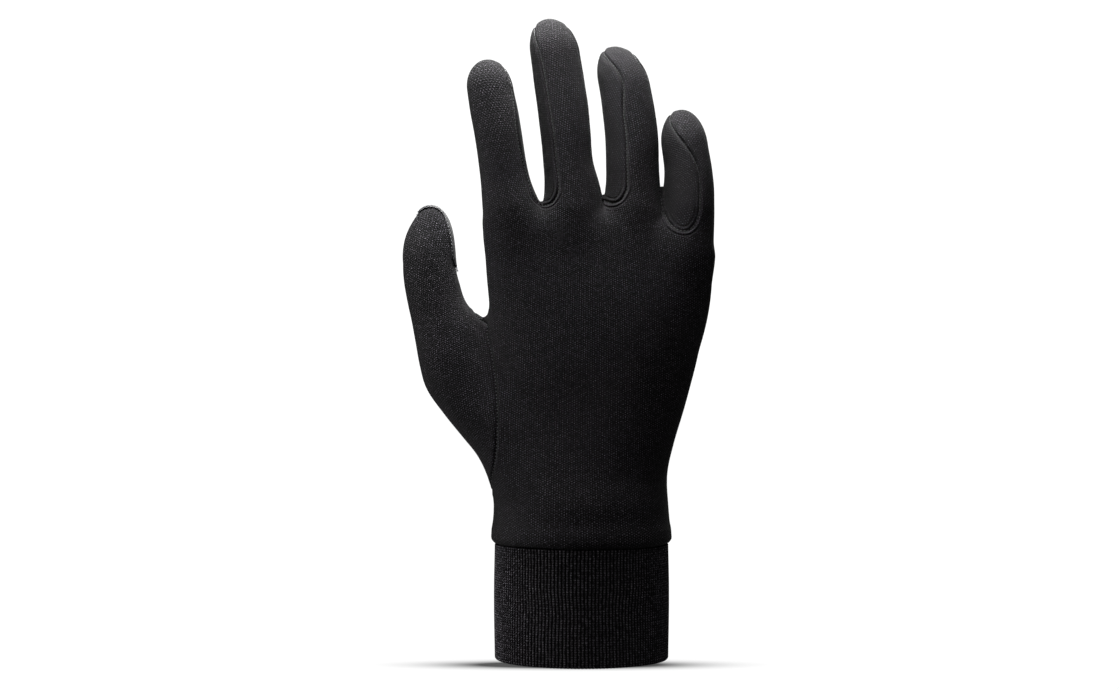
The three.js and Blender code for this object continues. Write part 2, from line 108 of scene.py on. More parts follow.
# Fourchettes
WELT_REACH = 15
WEB_FAR = 60
GUSSET_HOLLOW = 0.25
GUSSET_REACH = 5
GUSSET_BOWL = 1.3
# Painted shade: the fourchettes' cloth is painted darker where it turns sideways into the webs, less
# near the seams and higher up.
GUSSET_PAINTED_SHADE = 0.88
GUSSET_SHADE_EDGE = 2
GUSSET_SHADE_RISE = 55
GUSSET_SHADE_FRONT = 0.3
GUSSET_SHADE_FADE = 0.25

# Body knit
WANDER_SIZE = 9
WANDER = 0.5
KNIT_CONTRAST = 3.0
# Painted shade: the gaps between the stitches are painted darker than the stitches' crowns; the yarn's
# own unevenness varies the colour too.
KNIT_LIGHT = 2.0
KNIT_SHADOW = 0.04
KNIT_BUMP = 0.16
KNIT_TONE_SIZE = 26
FUZZ_SIZE = 0.65
FUZZ_CONTRAST = 5.5
FUZZ_RELIEF = 0.4
FUZZ_LIGHT = 12.5
GROOVE_WIDTH = 0.5
GROOVE_RELIEF = -3.5
# Painted shade: the seam grooves' colour is darkened.
GROOVE_SHADE = -0.92
SECOND_GROOVE_PLACE = 1.9
SECOND_GROOVE_WIDTH = 0.4
SECOND_GROOVE = 0.8
WELT_PLACE = 1.0
WELT_WIDTH = 0.45
WELT_RELIEF = 1.6
# Painted highlight: the welts beside the seams near the webs are painted lighter.
WELT_LIGHT = 0.7
SPECK_SIZE = 0.5
SPECK_SHARE = 0.73
SPECK_LIGHT = 5
# Painted shade: the knit's colour darkens towards its rims, where the surface turns away from the eye.
RIM_PAINTED_SHADE = 0.92
RIM_POWER = 1.7
KNIT_WARM = (0.0054, 0.0047, 0.0051, 1)
KNIT_COOL = (0.0046, 0.0043, 0.0056, 1)

# Cuff
RIBS = 150
RIB_POINTS = 6
RIB_RELIEF = 0.5
RIB_COURSE = 0.93
FOLD_RADIUS = 1.1
CUFF_TUCK = 0.1
CUFF_TOP_ROWS = (0, 0.8, 1.6)
CUFF_ROWS_DROP = 3
CUFF_ROWS = 22
CUFF_INSIDE_ROWS = 8
FOLD_ROWS = 9
RIB_SWAY = 0.35
RIB_SWAY_FINE = 0.18
CUFF_SLACK = 0.35
RIB_BUMP = 0.2
RIB_FUZZ_SIZE = 0.7
RIB_FUZZ_CONTRAST = 6
RIB_FUZZ_RELIEF = 0.5
RIB_FUZZ_LIGHT = 5
RIB_LOOP_LIGHT = 0.4
# Painted light and shade: the gaps between the rib's stitches and the valleys between its ribs are
# painted darker, the ridges lighter.
RIB_SHADOW = 0.2
RIB_CONTRAST = 2.0
RIB_RIDGE_LIGHT = 2.7
RIB_VALLEY_LIGHT = 0.02
RIB_TONE_SIZE = 18
RIB_SPECK_SHARE = 0.75
RIB_SPECK_LIGHT = 2.5
RIB_WARM = (0.0088, 0.0078, 0.0084, 1)
RIB_COOL = (0.0073, 0.0073, 0.0084, 1)

# Touch patch
PATCH_PITCH = 0.7
PATCH_GAP = 0.3
PATCH_THICKNESS = 0.6
PATCH_SKIN = 0.8
PATCH_RIM = 0.35
PATCH_RIM_WIDTH = 0.9
PATCH_ROUNDS = 3
PATCH_FAR = 4
PATCH_REACH = 0.7
PATCH_FUZZ_SIZE = 0.6
PATCH_FUZZ_CONTRAST = 3
PATCH_BUMP = 0.08
PATCH_TONE_SIZE = 6
PATCH_DARK = (0.0035, 0.0035, 0.0038, 1)
PATCH_LIGHT = (0.007, 0.007, 0.0078, 1)
FRAY_STRANDS = 7
FRAY_LENGTH = 2.6
FRAY_WIDTH = 0.28
FRAY_OVERLAP = 0.35
FRAY_CORNER = 2.5

# Thread
STITCH_RINGS = [(-0.5, 0.0), (-0.38, 0.75), (0.0, 1.0), (0.38, 0.75), (0.5, 0.0)]
STITCH_SIDES = 6
STITCH_SIGHT = 0.4
STITCHES = {
    "seam_stitches": {"pitch": 1.45, "length": 1.05, "width": 0.32, "lift": -0.32},
    "thumb_seam_stitches": {"pitch": 1.45, "length": 0.55, "width": 0.34, "lift": -0.22},
    "patch_stitches": {"pitch": 1.5, "length": 0.9, "width": 0.34, "lift": PATCH_GAP + 0.45},
}
FIBRE_SIZE = 0.4
FIBRE_BUMP = 0.05
FIBRE_SHADES = (0.7, 1.3)
DARK_THREAD = (0.005, 0.005, 0.0055, 1)
BRIGHT_THREAD = (0.022, 0.022, 0.025, 1)
LIGHT_THREAD = (0.32, 0.32, 0.33, 1)

# Camera and studio, in metres and watts
CAMERA_PLACE = (-0.0088, -0.75, 0.1256)
CAMERA_LENS = 60.3
CAMERA_SENSOR = 36
CAMERA_WHITE = 1.1
WORLD_LIGHT = 0.0
FLOOR_SIZE = 3000
FLOOR_COLOR = 0.01
FLOOR_LIGHT = 0.36
FLOOR_WHITE = 1.02
# Painted shadow: a dark streak beside the cuff, painted into the floor's glow rather than cast.
SHADOW_DEPTH = 0.95
SHADOW_MIDDLE = -5
SHADOW_CORE = 2.0
SHADOW_WIDTH = 42
SHADOW_THICKNESS = 8
SHADOW_FORWARD = 15

# Lamps: name, place, aim, size and power
LAMPS = [
    ("top_light", (-0.04, 0.0, 0.5), (0, 0, 0.1), (0.3, 0.16), 5.2),
    ("tip_light", (-0.03, 0.02, 0.43), (0, 0, 0.15), (0.2, 0.12), 6),
    ("left_light", (-0.7, 0.0, 0.12), (0, 0, 0.1), (0.4, 0.4), 13),
    ("front_light", (-0.3, -1.0, 0.9), (0, 0, 0.1), (0.6, 0.6), 7),
    ("right_light", (0.7, -0.1, 0.7), (0, 0, 0.15), (0.5, 0.5), 1.2),
    ("back_light", (0.35, 0.9, 0.8), (0, 0.05, 0.12), (0.6, 0.6), 13),
]

# The digits, as in the solids: up and side are shares of length, back of curl, wide of width and
# deep of depth.
DIGITS = {
    "thumb": {
        "length": 112.1, "width": 22, "depth": 20, "curl": 18, "dome": 22,
        "across": -0.242, "rise": 0.175, "set_back": 2, "tip_side": -0.353,
        "up": [0, 0.08, 0.16, 0.25, 0.33, 0.42, 0.51, 0.59, 0.64, 0.72, 0.79],
        "side": [0.01, -0.026, -0.077, -0.143, -0.2, -0.239, -0.271, -0.296, -0.322, -0.345, -0.357],
        "back": [0, 0.05, 0.11, 0.17, 0.24, 0.3, 0.37, 0.43, 0.48, 0.56, 0.64],
        "wide": [0.9, 1.31, 1.52, 1.62, 1.62, 1.51, 1.36, 1.26, 1.11, 1.02, 0.95],
        "deep": [1.3, 1.5, 1.62, 1.62, 1.55, 1.46, 1.33, 1.21, 1.14, 1.08, 1.03],
    },
    "index": {
        "length": 81.6, "width": 19.4, "depth": 18.4, "curl": 11, "dome": 13,
        "across": -0.274, "rise": 0.83, "set_back": -1, "tip_side": -0.157,
        "up": [0, 0.13, 0.23, 0.3, 0.37, 0.47, 0.63, 0.75, 0.84],
        "side": [0, -0.01, -0.026, -0.043, -0.059, -0.078, -0.105, -0.126, -0.143],
        "back": [0, 0.03, 0.06, 0.09, 0.12, 0.2, 0.37, 0.55, 0.71],
        "wide": [1.26, 1.35, 1.28, 1.17, 1.07, 1.01, 0.99, 1.0, 0.97],
        "deep": [1.0, 1.26, 1.22, 1.14, 1.05, 1.01, 1.0, 0.99, 0.97],
    },
    "middle": {
        "length": 98.9, "width": 20.8, "depth": 19.4, "curl": 17, "dome": 14.5,
        "across": -0.036, "rise": 0.83, "set_back": -1, "tip_side": -0.097,
        "up": [0, 0.11, 0.19, 0.25, 0.31, 0.39, 0.52, 0.65, 0.75, 0.85],
        "side": [0, -0.002, -0.002, -0.002, -0.008, -0.021, -0.032, -0.046, -0.061, -0.076],
        "back": [0, 0.01, 0.03, 0.06, 0.09, 0.15, 0.27, 0.44, 0.59, 0.73],
        "wide": [1.4, 1.36, 1.25, 1.15, 1.08, 1.0, 0.99, 1.01, 1.01, 0.98],
        "deep": [1.0, 1.22, 1.18, 1.1, 1.04, 1.01, 1.0, 1.0, 0.99, 0.96],
    },
    "ring": {
        "length": 90.4, "width": 22, "depth": 19.6, "curl": 19.5, "dome": 16.5,
        "across": 0.221, "rise": 0.815, "set_back": -0.5, "tip_side": -0.068,
        "up": [0, 0.12, 0.21, 0.29, 0.36, 0.45, 0.56, 0.67, 0.82],
        "side": [0, 0.002, 0.005, 0.005, 0.005, 0.002, 0, -0.01, -0.032],
        "back": [0, 0.02, 0.05, 0.09, 0.13, 0.19, 0.3, 0.44, 0.65],
        "wide": [1.26, 1.26, 1.19, 1.07, 1.01, 0.99, 0.99, 0.99, 0.98],
        "deep": [1.0, 1.22, 1.18, 1.08, 1.03, 1.01, 1.0, 0.99, 0.97],
    },
    "little": {
        "length": 71.1, "width": 19.2, "depth": 18, "curl": 14, "dome": 15,
        "across": 0.437, "rise": 0.76, "set_back": 0, "tip_side": 0.016,
        "up": [0, 0.14, 0.25, 0.35, 0.45, 0.54, 0.63, 0.79],
        "side": [0, 0.008, 0.016, 0.03, 0.04, 0.043, 0.043, 0.027],
        "back": [0, 0, 0.02, 0.07, 0.14, 0.24, 0.35, 0.6],
        "wide": [1.2, 1.29, 1.25, 1.16, 1.09, 1.07, 1.01, 0.99],
        "deep": [1.0, 1.3, 1.22, 1.12, 1.06, 1.02, 1.0, 0.98],
    },
}

# The lip over the cuff: rise is a share of LIP_HEIGHT and out of LIP_OVERHANG.
LIP = {"rise": [0, 0.25, 1, 2.3, 4], "out": [0.15, 0.8, 1, 0.4, 0]}

# The wrist and palm: rise is a share of PALM_LENGTH above the cuff, left and right of PALM_WIDTH,
# near and far of PALM_DEPTH. square is the oval's exponent.
PALM = {
    "rise": [0.2, 0.29, 0.39, 0.5, 0.61, 0.72, 0.82, 0.89],
    "left": [-0.4, -0.391, -0.396, -0.4, -0.404, -0.407, -0.413, -0.421],
    "right": [0.376, 0.404, 0.451, 0.495, 0.532, 0.56, 0.578, 0.58],
    "near": [0.68, 0.62, 0.57, 0.54, 0.51, 0.46, 0.39, 0.33],
    "far": [0.74, 0.72, 0.68, 0.62, 0.56, 0.5, 0.42, 0.35],
    "square": [2.1, 2.2, 2.3, 2.4, 2.5, 2.7, 2.9, 3],
}

# The fourchettes' seams. foot is the bottom of the crotch, across as a share of PALM_WIDTH and up of
# the left digit's length, and round is the height of its turn. left and right are the seams' places
# on the two digits, as shares of their half-width, at SEAM_HEIGHTS.
CROTCH_ROUND = 8
SEAM_HEIGHTS = [0, 0.45, 0.85, 0.97]
FOURCHETTES = {
    "fourchette_index_middle": {
        "digits": ("index", "middle"),
        "back": {"foot": (-0.152, 0.26), "round": 1, "left": [0.88, 0.8, 1, 1.03],
                 "right": [-0.45, -0.52, -0.72, -1.03]},
        "palm": {"foot": (-0.155, 0.26), "round": 0.9, "left": [0.75, 0.78, 0.85, 1.03],
                 "right": [-0.8, -0.84, -0.9, -1.03]},
    },
    "fourchette_middle_ring": {
        "digits": ("middle", "ring"),
        "back": {"foot": (0.136, 0.22), "round": 1, "left": [1.03, 1.06, 1.06, 1.06],
                 "right": [-0.22, -0.23, -0.36, -1.03]},
        "palm": {"foot": (0.13, 0.22), "round": 0.9, "left": [0.55, 0.6, 0.75, 1.03],
                 "right": [-0.86, -0.9, -0.94, -1.03]},
    },
    "fourchette_ring_little": {
        "digits": ("ring", "little"),
        "back": {"foot": (0.446, 0.14), "round": 1.4, "left": [0.97, 1.06, 1.06, 1.06],
                 "right": [0.42, 0.28, -0.72, -1.03]},
        "palm": {"foot": (0.37, 0.205), "round": 1, "left": [0.5, 0.55, 0.75, 1.03],
                 "right": [-0.95, -0.95, -0.97, -1.03]},
    },
}
SIDE_SEAM_SET_BACK = 3
SIDES_PART = 2
FACE_OVERLAP = 2.5

# The thumb piece's seam: rise is a share of PALM_LENGTH, back and palm of PALM_WIDTH.
THUMB_SEAM = {
    "rise": [0.13, 0.18, 0.25, 0.33, 0.43, 0.53, 0.62, 0.66, 0.76, 1.1],
    "back": [-0.42, -0.4, -0.377, -0.366, -0.37, -0.388, -0.424, -0.455, -0.472, -0.53],
    "palm": [-0.42, -0.36, -0.27, -0.18, -0.14, -0.2, -0.37, -0.455, -0.472, -0.53],
}

# The touch patch's edge: up is a share of the thumb's length, back and palm of its width.
PATCH_EDGE = {
    "up": [0.775, 0.8, 0.87, 0.94, 1.02],
    "back": [0.46, 0.42, 0.37, 0.28, 0.12],
    "palm": [0.1, -0.2, -0.34, -0.3, -0.1],
}


def curve(places, values):
    """A smooth curve through a table's values, level beyond its ends."""
    places = np.asarray(places, float)
    values = np.asarray(values, float)
    slopes = np.gradient(values, places)

    def at(place):
        place = np.clip(place, places[0], places[-1])
        i = np.clip(np.searchsorted(places, place, side="right") - 1, 0, len(places) - 2)
        width = places[i + 1] - places[i]
        t = (place - places[i]) / width
        start = (1 + 2 * t) * (1 - t) ** 2 * values[i] + t * (1 - t) ** 2 * width * slopes[i]
        return start + t * t * (3 - 2 * t) * values[i + 1] - t * t * (1 - t) * width * slopes[i + 1]

    return at


class Digit:
    """A digit's centre line and sections, by height."""

    def __init__(self, row):
        self.row = row
        self.root_x = row["across"] * PALM_WIDTH
        self.root_z = CUFF_HEIGHT + row["rise"] * PALM_LENGTH
        self.length = row["length"]
        self.shoulder_z = self.root_z + self.length - row["dome"]
        self.tip_z = self.root_z + self.length
        self.tip_x = self.root_x + row["tip_side"] * self.length
        self.tip_y = row["set_back"] + row["curl"]
        self.curves = {key: curve(row["up"], row[key]) for key in ("wide", "deep")}
        self.curves["side"] = curve(row["up"] + [1], row["side"] + [row["tip_side"]])
        self.curves["back"] = curve(row["up"] + [1], row["back"] + [1])

    def section(self, z):
        """Centre, half-width and half-depth at a height, and how far it is into the dome."""
        row = self.row
        up = (z - self.root_z) / self.length
        x = self.root_x + self.curves["side"](up) * self.length
        y = row["set_back"] + self.curves["back"](up) * row["curl"]
        wide = self.curves["wide"](up) * row["width"] / 2
        deep = self.curves["deep"](up) * row["depth"] / 2
        over = np.maximum(z - self.shoulder_z, 0) / row["dome"]
        return x, y, wide, deep, over

    def centre(self, z):
        x, y, *_ = self.section(z)
        return x, y

    def distance(self, x, y, z):
        """About how far a point lies outside the digit."""
        cx, cy, wide, deep, over = self.section(z)
        nx, ny = self.centre(z + 1)
        lean = np.sqrt(1 + (nx - cx) ** 2 + (ny - cy) ** 2)
        dx, dy = (x - cx) / wide, (y - cy) / deep
        under = np.maximum(self.root_z - z, 0) / ROOT_DOME
        reach = np.sqrt(dx * dx + dy * dy + over * over + under * under) + 1e-6
        ends = (over / self.row["dome"]) ** 2 + (under / ROOT_DOME) ** 2
        steep = np.sqrt((dx / wide) ** 2 + (dy / deep) ** 2 + ends)
        return reach * (reach - 1) / np.maximum(steep, 0.03) / lean


def palm_curves():
    """The outlines of lip, wrist and palm, in millimetres, by height."""
    z = [CUFF_HEIGHT + LIP_GAP + rise * LIP_HEIGHT for rise in LIP["rise"]]
    z += [CUFF_HEIGHT + rise * PALM_LENGTH for rise in PALM["rise"]]
    out = [share * LIP_OVERHANG for share in LIP["out"]]
    sides = {
        "left": [-CUFF_WIDTH / 2 - o for o in out] + [v * PALM_WIDTH for v in PALM["left"]],
        "right": [CUFF_WIDTH / 2 + o for o in out] + [v * PALM_WIDTH for v in PALM["right"]],
        "near": [CUFF_DEPTH / 2 + o for o in out] + [v * PALM_DEPTH for v in PALM["near"]],
        "far": [CUFF_DEPTH / 2 + o for o in out] + [v * PALM_DEPTH for v in PALM["far"]],
        "square": [2] * len(out) + PALM["square"],
    }
    return {key: curve(z, values) for key, values in sides.items()}


PLACES = {name: Digit(row) for name, row in DIGITS.items()}
FINGERS = ["index", "middle", "ring", "little"]
PALM_CURVES = palm_curves()
PALM_BOTTOM = CUFF_HEIGHT + LIP_GAP
KNUCKLES = CUFF_HEIGHT + PALM["rise"][-1] * PALM_LENGTH


def palm_distance(x, y, z):
    left, right = PALM_CURVES["left"](z), PALM_CURVES["right"](z)
    near, far, square = (PALM_CURVES[key](z) for key in ("near", "far", "square"))
    wide = (right - left) / 2
    deep = np.where(y < 0, near, far)
    dx = np.abs(x - (left + right) / 2) / wide + 1e-6
    dy = np.abs(y) / deep + 1e-6
    reach = (dx**square + dy**square) ** (1 / square)
    steep = reach ** (1 - square) * np.hypot(dx ** (square - 1) / wide, dy ** (square - 1) / deep)
    over = np.maximum(z - KNUCKLES - KNUCKLE_SLOPE * x, 0) / KNUCKLE_DOME
    domed = np.hypot(reach, over)
    slope = np.hypot(reach * steep, over / KNUCKLE_DOME)
    away = (domed - 1) * domed / np.maximum(slope, 0.01)
    return np.maximum(away, PALM_BOTTOM - z)


def joined(a, b, soft):
    """The distance to two shapes with their meeting line filled softly."""
    near = np.maximum(soft - np.abs(a - b), 0) / soft
    return np.minimum(a, b) - near * near * soft / 4


def glove_distance(x, y, z):
    fingers = None
    for name in FINGERS:
        away = PLACES[name].distance(x, y, z)
        fingers = away if fingers is None else joined(fingers, away, FINGER_BLEND)
    hand = joined(palm_distance(x, y, z), fingers, PALM_BLEND)
    soft = np.interp(z - CUFF_HEIGHT, THUMB_BLEND_RISE, THUMB_BLEND)
    whole = joined(hand, PLACES["thumb"].distance(x, y, z), soft)
    return np.maximum(whole, PALM_BOTTOM - z)


def surface_net(field, origin, step):
    """The zero surface of a field on a grid, as points and outward four-sided faces."""
    shape = field.shape
    cells, spots, faces = [], [], []
    for axis in range(3):
        lower = np.take(field, range(shape[axis] - 1), axis)
        upper = np.take(field, range(1, shape[axis]), axis)
        at = np.argwhere((lower < 0) != (upper < 0))
        low, high = lower[tuple(at.T)], upper[tuple(at.T)]
        spot = at.astype(float)
        spot[:, axis] += low / (low - high)
        one, two = [other for other in range(3) if other != axis]
        ring = []
        for back_one, back_two in ((0, 0), (1, 0), (1, 1), (0, 1)):
            cell = at.copy()
            cell[:, one] -= back_one
            cell[:, two] -= back_two
            ring.append(np.ravel_multi_index(tuple(cell.T), shape))
        ring = np.stack(ring, 1)
        cells.append(ring.ravel())
        spots.append(np.repeat(spot, 4, 0))
        flip = (low < 0) == (axis != 1)
        faces.append(np.where(flip[:, None], ring, ring[:, ::-1]))
    names, places = np.unique(np.concatenate(cells), return_inverse=True)
    spots = np.concatenate(spots)
    count = np.bincount(places)
    points = np.stack([np.bincount(places, spots[:, i]) / count for i in range(3)], 1)
    quads = np.searchsorted(names, np.concatenate(faces))
    return points * step + origin, quads


def gradient(points, reach=0.2):
    slopes = []
    for axis in range(3):
        shift = np.zeros(3)
        shift[axis] = reach
        ahead, behind = (points + shift).T, (points - shift).T
        slopes.append((glove_distance(*ahead) - glove_distance(*behind)) / (2 * reach))
    return np.stack(slopes, 1)


def outward(points):
    slopes = gradient(points)
    return slopes / np.maximum(np.linalg.norm(slopes, axis=1, keepdims=True), 1e-9)


def settle(points):
    """Moves points straight onto the glove's surface."""
    slopes = gradient(points)
    steep = np.maximum((slopes**2).sum(1, keepdims=True), 0.05)
    return points - glove_distance(*points.T)[:, None] * slopes / steep


def sides_of(triangles):
    return np.concatenate([triangles[:, [0, 1]], triangles[:, [1, 2]], triangles[:, [2, 0]]])


def edges_of(triangles):
    return np.unique(np.sort(sides_of(triangles), 1), axis=0)


def averaged(values, edges, rounds, share=0.5):
    """Values on points, evened out along the edges."""
    size = len(values)
    a, b = edges.T
    count = np.bincount(a, minlength=size) + np.bincount(b, minlength=size)
    flat = values.reshape(size, -1)
    for _ in range(rounds):
        total = np.stack([
            np.bincount(a, flat[b, i], size) + np.bincount(b, flat[a, i], size)
            for i in range(flat.shape[1])
        ], 1)
        flat = flat + share * (total / np.maximum(count, 1)[:, None] - flat)
    return flat.reshape(values.shape)


def draw_surface():
    """The glove's outer surface as even triangles, open at the wrist."""
    corners = np.array([box_mm(node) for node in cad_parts])
    low = corners[:, 0].min(0) - MARGIN
    high = corners[:, 1].max(0) + MARGIN
    low[2] = CUFF_HEIGHT - MARGIN
    axes = [np.arange(low[i], high[i], STEP) for i in range(3)]
    x, y, z = np.meshgrid(*axes, indexing="ij", sparse=True)
    z = np.broadcast_to(z, (1, 1, len(axes[2])))
    points, quads = surface_net(glove_distance(x, y, z), low, STEP)
    first, second = quads[:, [0, 1, 2]], quads[:, [0, 2, 3]]
    other_first, other_second = quads[:, [0, 1, 3]], quads[:, [1, 2, 3]]
    across = np.linalg.norm(points[quads[:, 0]] - points[quads[:, 2]], axis=1)
    along = np.linalg.norm(points[quads[:, 1]] - points[quads[:, 3]], axis=1)
    short = (across < along)[:, None]
    halves = [np.where(short, first, other_first), np.where(short, second, other_second)]
    triangles = np.concatenate(halves)
    edges = edges_of(triangles)
    for _ in range(SETTLE_ROUNDS):
        points = settle(averaged(points, edges, 1))
    points = settle(points)
    return open_wrist(points, triangles)


def open_wrist(points, triangles):
    """Takes away the flat face that closes the wrist."""
    middle = points[triangles].mean(1)
    x, y = middle[:, 0], middle[:, 1]
    low = middle[:, 2] < PALM_BOTTOM + WRIST_CUT * STEP
    inner = np.hypot(x / (CUFF_WIDTH / 2 - WALL), y / (CUFF_DEPTH / 2 - WALL)) < 1
    kept = triangles[~(low & inner)]
    used = np.unique(kept)
    return points[used], np.searchsorted(used, kept)


def tongue_outline(seams, digits):
    """A fourchette's seam line as seen from the front, closed above the fingertips."""
    before, after = (PLACES[name] for name in digits)
    across, up = seams["foot"]
    turn = seams["round"] * CROTCH_ROUND
    centre = across * PALM_WIDTH
    crown = before.root_z + up * before.length + turn
    top = max(before.tip_z, after.tip_z) + MARGIN
    round_end = crown - turn * np.cos(np.linspace(0, math.pi / 2, 12))
    z = np.concatenate([round_end, np.linspace(crown, top, 60)[1:]])
    fill = np.sqrt(1 - np.clip((crown - z) / turn, 0, 1) ** 2)
    sides = []
    for place, key in ((before, "left"), (after, "right")):
        share = np.clip((np.maximum(z, crown) - crown) / (place.tip_z - crown), 0, 1)
        x, _, wide, _, over = place.section(np.maximum(z, crown))
        wide = wide * np.sqrt(1 - np.clip(over, 0, 0.97) ** 2)
        sides.append(centre + (x + curve(SEAM_HEIGHTS, seams[key])(share) * wide - centre) * fill)
    left = np.stack([sides[0], z], 1)
    right = np.stack([sides[1], z], 1)
    return np.concatenate([left, right[::-1]])


def inside_outline(points, outline):
    """How far points of a plane lie inside a closed outline, below nothing outside."""
    start, end = outline, np.roll(outline, -1, 0)
    nearest = np.full(len(points), np.inf)
    crossed = np.zeros(len(points), bool)
    for a, b in zip(start, end):
        run = b - a
        t = np.clip(((points - a) @ run) / max(run @ run, 1e-12), 0, 1)
        nearest = np.minimum(nearest, np.linalg.norm(points - a - t[:, None] * run, axis=1))
        straddles = (a[1] > points[:, 1]) != (b[1] > points[:, 1])
        if a[1] != b[1]:
            across = a[0] + (points[:, 1] - a[1]) / (b[1] - a[1]) * run[0]
            crossed ^= straddles & (points[:, 0] < across)
    return np.where(crossed, nearest, -nearest)


def fourchette_field(points, name):
    """Positive on the fourchette's side of its seams."""
    spec = FOURCHETTES[name]
    x, y, z = points.T
    depths = [PLACES[digit].centre(z)[1] for digit in spec["digits"]]
    flat = np.stack([x, z], 1)
    outlines = (tongue_outline(spec[side], spec["digits"]) for side in ("back", "palm"))
    back, palm = (inside_outline(flat, outline) for outline in outlines)
    front_half = np.maximum(*depths) + SIDE_SEAM_SET_BACK + FACE_OVERLAP - y
    rear_half = y - np.minimum(*depths) + FACE_OVERLAP
    return np.maximum(np.minimum(back, front_half), np.minimum(palm, rear_half))


def either_half(back, palm, behind):
    """One field on the back's side of a digit and another on its palm side."""
    near = np.minimum(back, FACE_OVERLAP - behind)
    return np.maximum(near, np.minimum(palm, FACE_OVERLAP + behind))


def thumb_field(points):
    x, y, z = points.T
    rise = (z - CUFF_HEIGHT) / PALM_LENGTH
    back = curve(THUMB_SEAM["rise"], THUMB_SEAM["back"])(rise) * PALM_WIDTH - x
    palm = curve(THUMB_SEAM["rise"], THUMB_SEAM["palm"])(rise) * PALM_WIDTH - x
    foot = z - CUFF_HEIGHT - THUMB_SEAM["rise"][0] * PALM_LENGTH
    return np.minimum(either_half(back, palm, y), foot)


def palm_side_field(points):
    """Positive behind the side seam."""
    x, y, z = points.T
    centres = [PLACES[name].centre(z) for name in FINGERS]
    near = np.argmin([np.abs(x - cx) for cx, _ in centres], 0)
    depth = np.choose(near, [cy for _, cy in centres])
    roots = min(PLACES[name].root_z for name in FINGERS)
    into = np.clip((z - roots) / MARGIN, 0, 1)
    return y - SIDE_SEAM_SET_BACK - depth * into


def snapped(points, edges, values, fixed):
    """Slides points onto a field's zero line, so that no edge crosses it."""
    a, b = edges.T
    crossing = values[a] * values[b] < 0
    a, b = a[crossing], b[crossing]
    t = values[a] / (values[a] - values[b])
    use_a = np.where(fixed[b], True, t < 0.5) & ~fixed[a]
    who = np.where(use_a, a, b)
    shift = np.where(use_a, t, t - 1)[:, None] * (points[b] - points[a])
    usable = ~fixed[who]
    order = np.argsort(-np.linalg.norm(shift, axis=1))
    order = order[usable[order]]
    moved = points.copy()
    moved[who[order]] = points[who[order]] + shift[order]
    values = values.copy()
    values[who[order]] = 0
    fixed = fixed.copy()
    fixed[who[order]] = True
    return moved, values, fixed


def cut_pattern(points, triangles):
    """Sorts the triangles into the pieces of cloth, with points lying along the seams."""
    edges = edges_of(triangles)
    fixed = np.zeros(len(points), bool)
    names = ["back_panel", "palm_panel", *FOURCHETTES, "thumb_piece"]
    owner = np.zeros(len(triangles), int)
    fields = [(name, fourchette_field(points, name)) for name in FOURCHETTES]
    fields.append(("thumb_piece", thumb_field(points)))
    fields.insert(0, ("palm_panel", palm_side_field(points)))
    smooth = [(name, averaged(values, edges, FIELD_ROUNDS)) for name, values in fields]
    for name, values in reversed(smooth):
        claimed = np.zeros(len(points), bool)
        claimed[triangles[owner > 0].ravel()] = True
        held = fixed | (claimed & (name == "palm_panel"))
        points, values, fixed = snapped(points, edges, values, held)
        inside = values[triangles].sum(1) > 0
        free = owner == 0
        owner[inside & free] = names.index(name)
    return points, owner, names


def seam_edges(triangles, owner):
    """The edges between two pieces of cloth."""
    owners = np.tile(owner, 3)
    key = np.sort(sides_of(triangles), 1)
    order = np.lexsort((key[:, 1], key[:, 0]))
    key, owners = key[order], owners[order]
    same = (key[1:] == key[:-1]).all(1)
    parted = same & (owners[1:] != owners[:-1])
    return key[1:][parted], np.stack([owners[1:][parted], owners[:-1][parted]], 1)


def lookup(places):
    tree = kdtree.KDTree(len(places))
    for i, place in enumerate(places):
        tree.insert(place, i)
    tree.balance()
    return tree


def nearest_distance(points, tree, far):
    away = np.full(len(points), far, float)
    for i, point in enumerate(points):
        distance = tree.find(point)[2]
        if distance is not None:
            away[i] = min(distance, far)
    return away


def seam_relief(away):
    """A seam draws the cloth in, with a soft roll on either side."""
    groove = -SEAM_DEPTH * np.exp(-((away / SEAM_REACH) ** 2))
    roll = ROLL_HEIGHT * np.exp(-(((away - ROLL_PLACE) / ROLL_WIDTH) ** 2))
    return groove + roll


def ease_knuckles(points, triangles):
    """Draws the cloth evenly over the knuckles, where it spans the hollows between them."""
    facing = np.abs(outward(points)[:, 1])
    z = points[:, 2]
    low, high = KNUCKLES - EASE_BELOW, KNUCKLES + EASE_ABOVE
    above = np.clip((z - low) / EASE_FADE_BELOW, 0, 1)
    below = np.clip((high - z) / EASE_FADE_ABOVE, 0, 1)
    share = above * below * np.clip((facing - EASE_FACING) / EASE_FACING_FADE, 0, 1)
    even = averaged(points, edges_of(triangles), EASE_ROUNDS)
    return points + share[:, None] * (even - points)


def slack_relief(points):
    """Slow unevenness of worn cloth."""
    wide, tall = SLACK_BROAD_SIZE
    narrow, low = SLACK_FINE_SIZE
    lift = np.empty(len(points))
    for i, (x, y, z) in enumerate(points):
        broad = noise.noise(Vector((x / wide, y / wide, z / tall)))
        fine = noise.noise(Vector((x / narrow, y / narrow + SLACK_SHIFT, z / low)))
        lift[i] = SLACK_BROAD * broad + SLACK_FINE * fine
    return lift


def mesh_object(name, points, faces, material):
    mesh = bpy.data.meshes.new(name)
    mesh.from_pydata((np.asarray(points) * MM).tolist(), [], np.asarray(faces).tolist())
    mesh.shade_smooth()
    mesh.materials.append(material)
    obj = bpy.data.objects.new(name, mesh)
    bpy.context.scene.collection.objects.link(obj)
    return obj


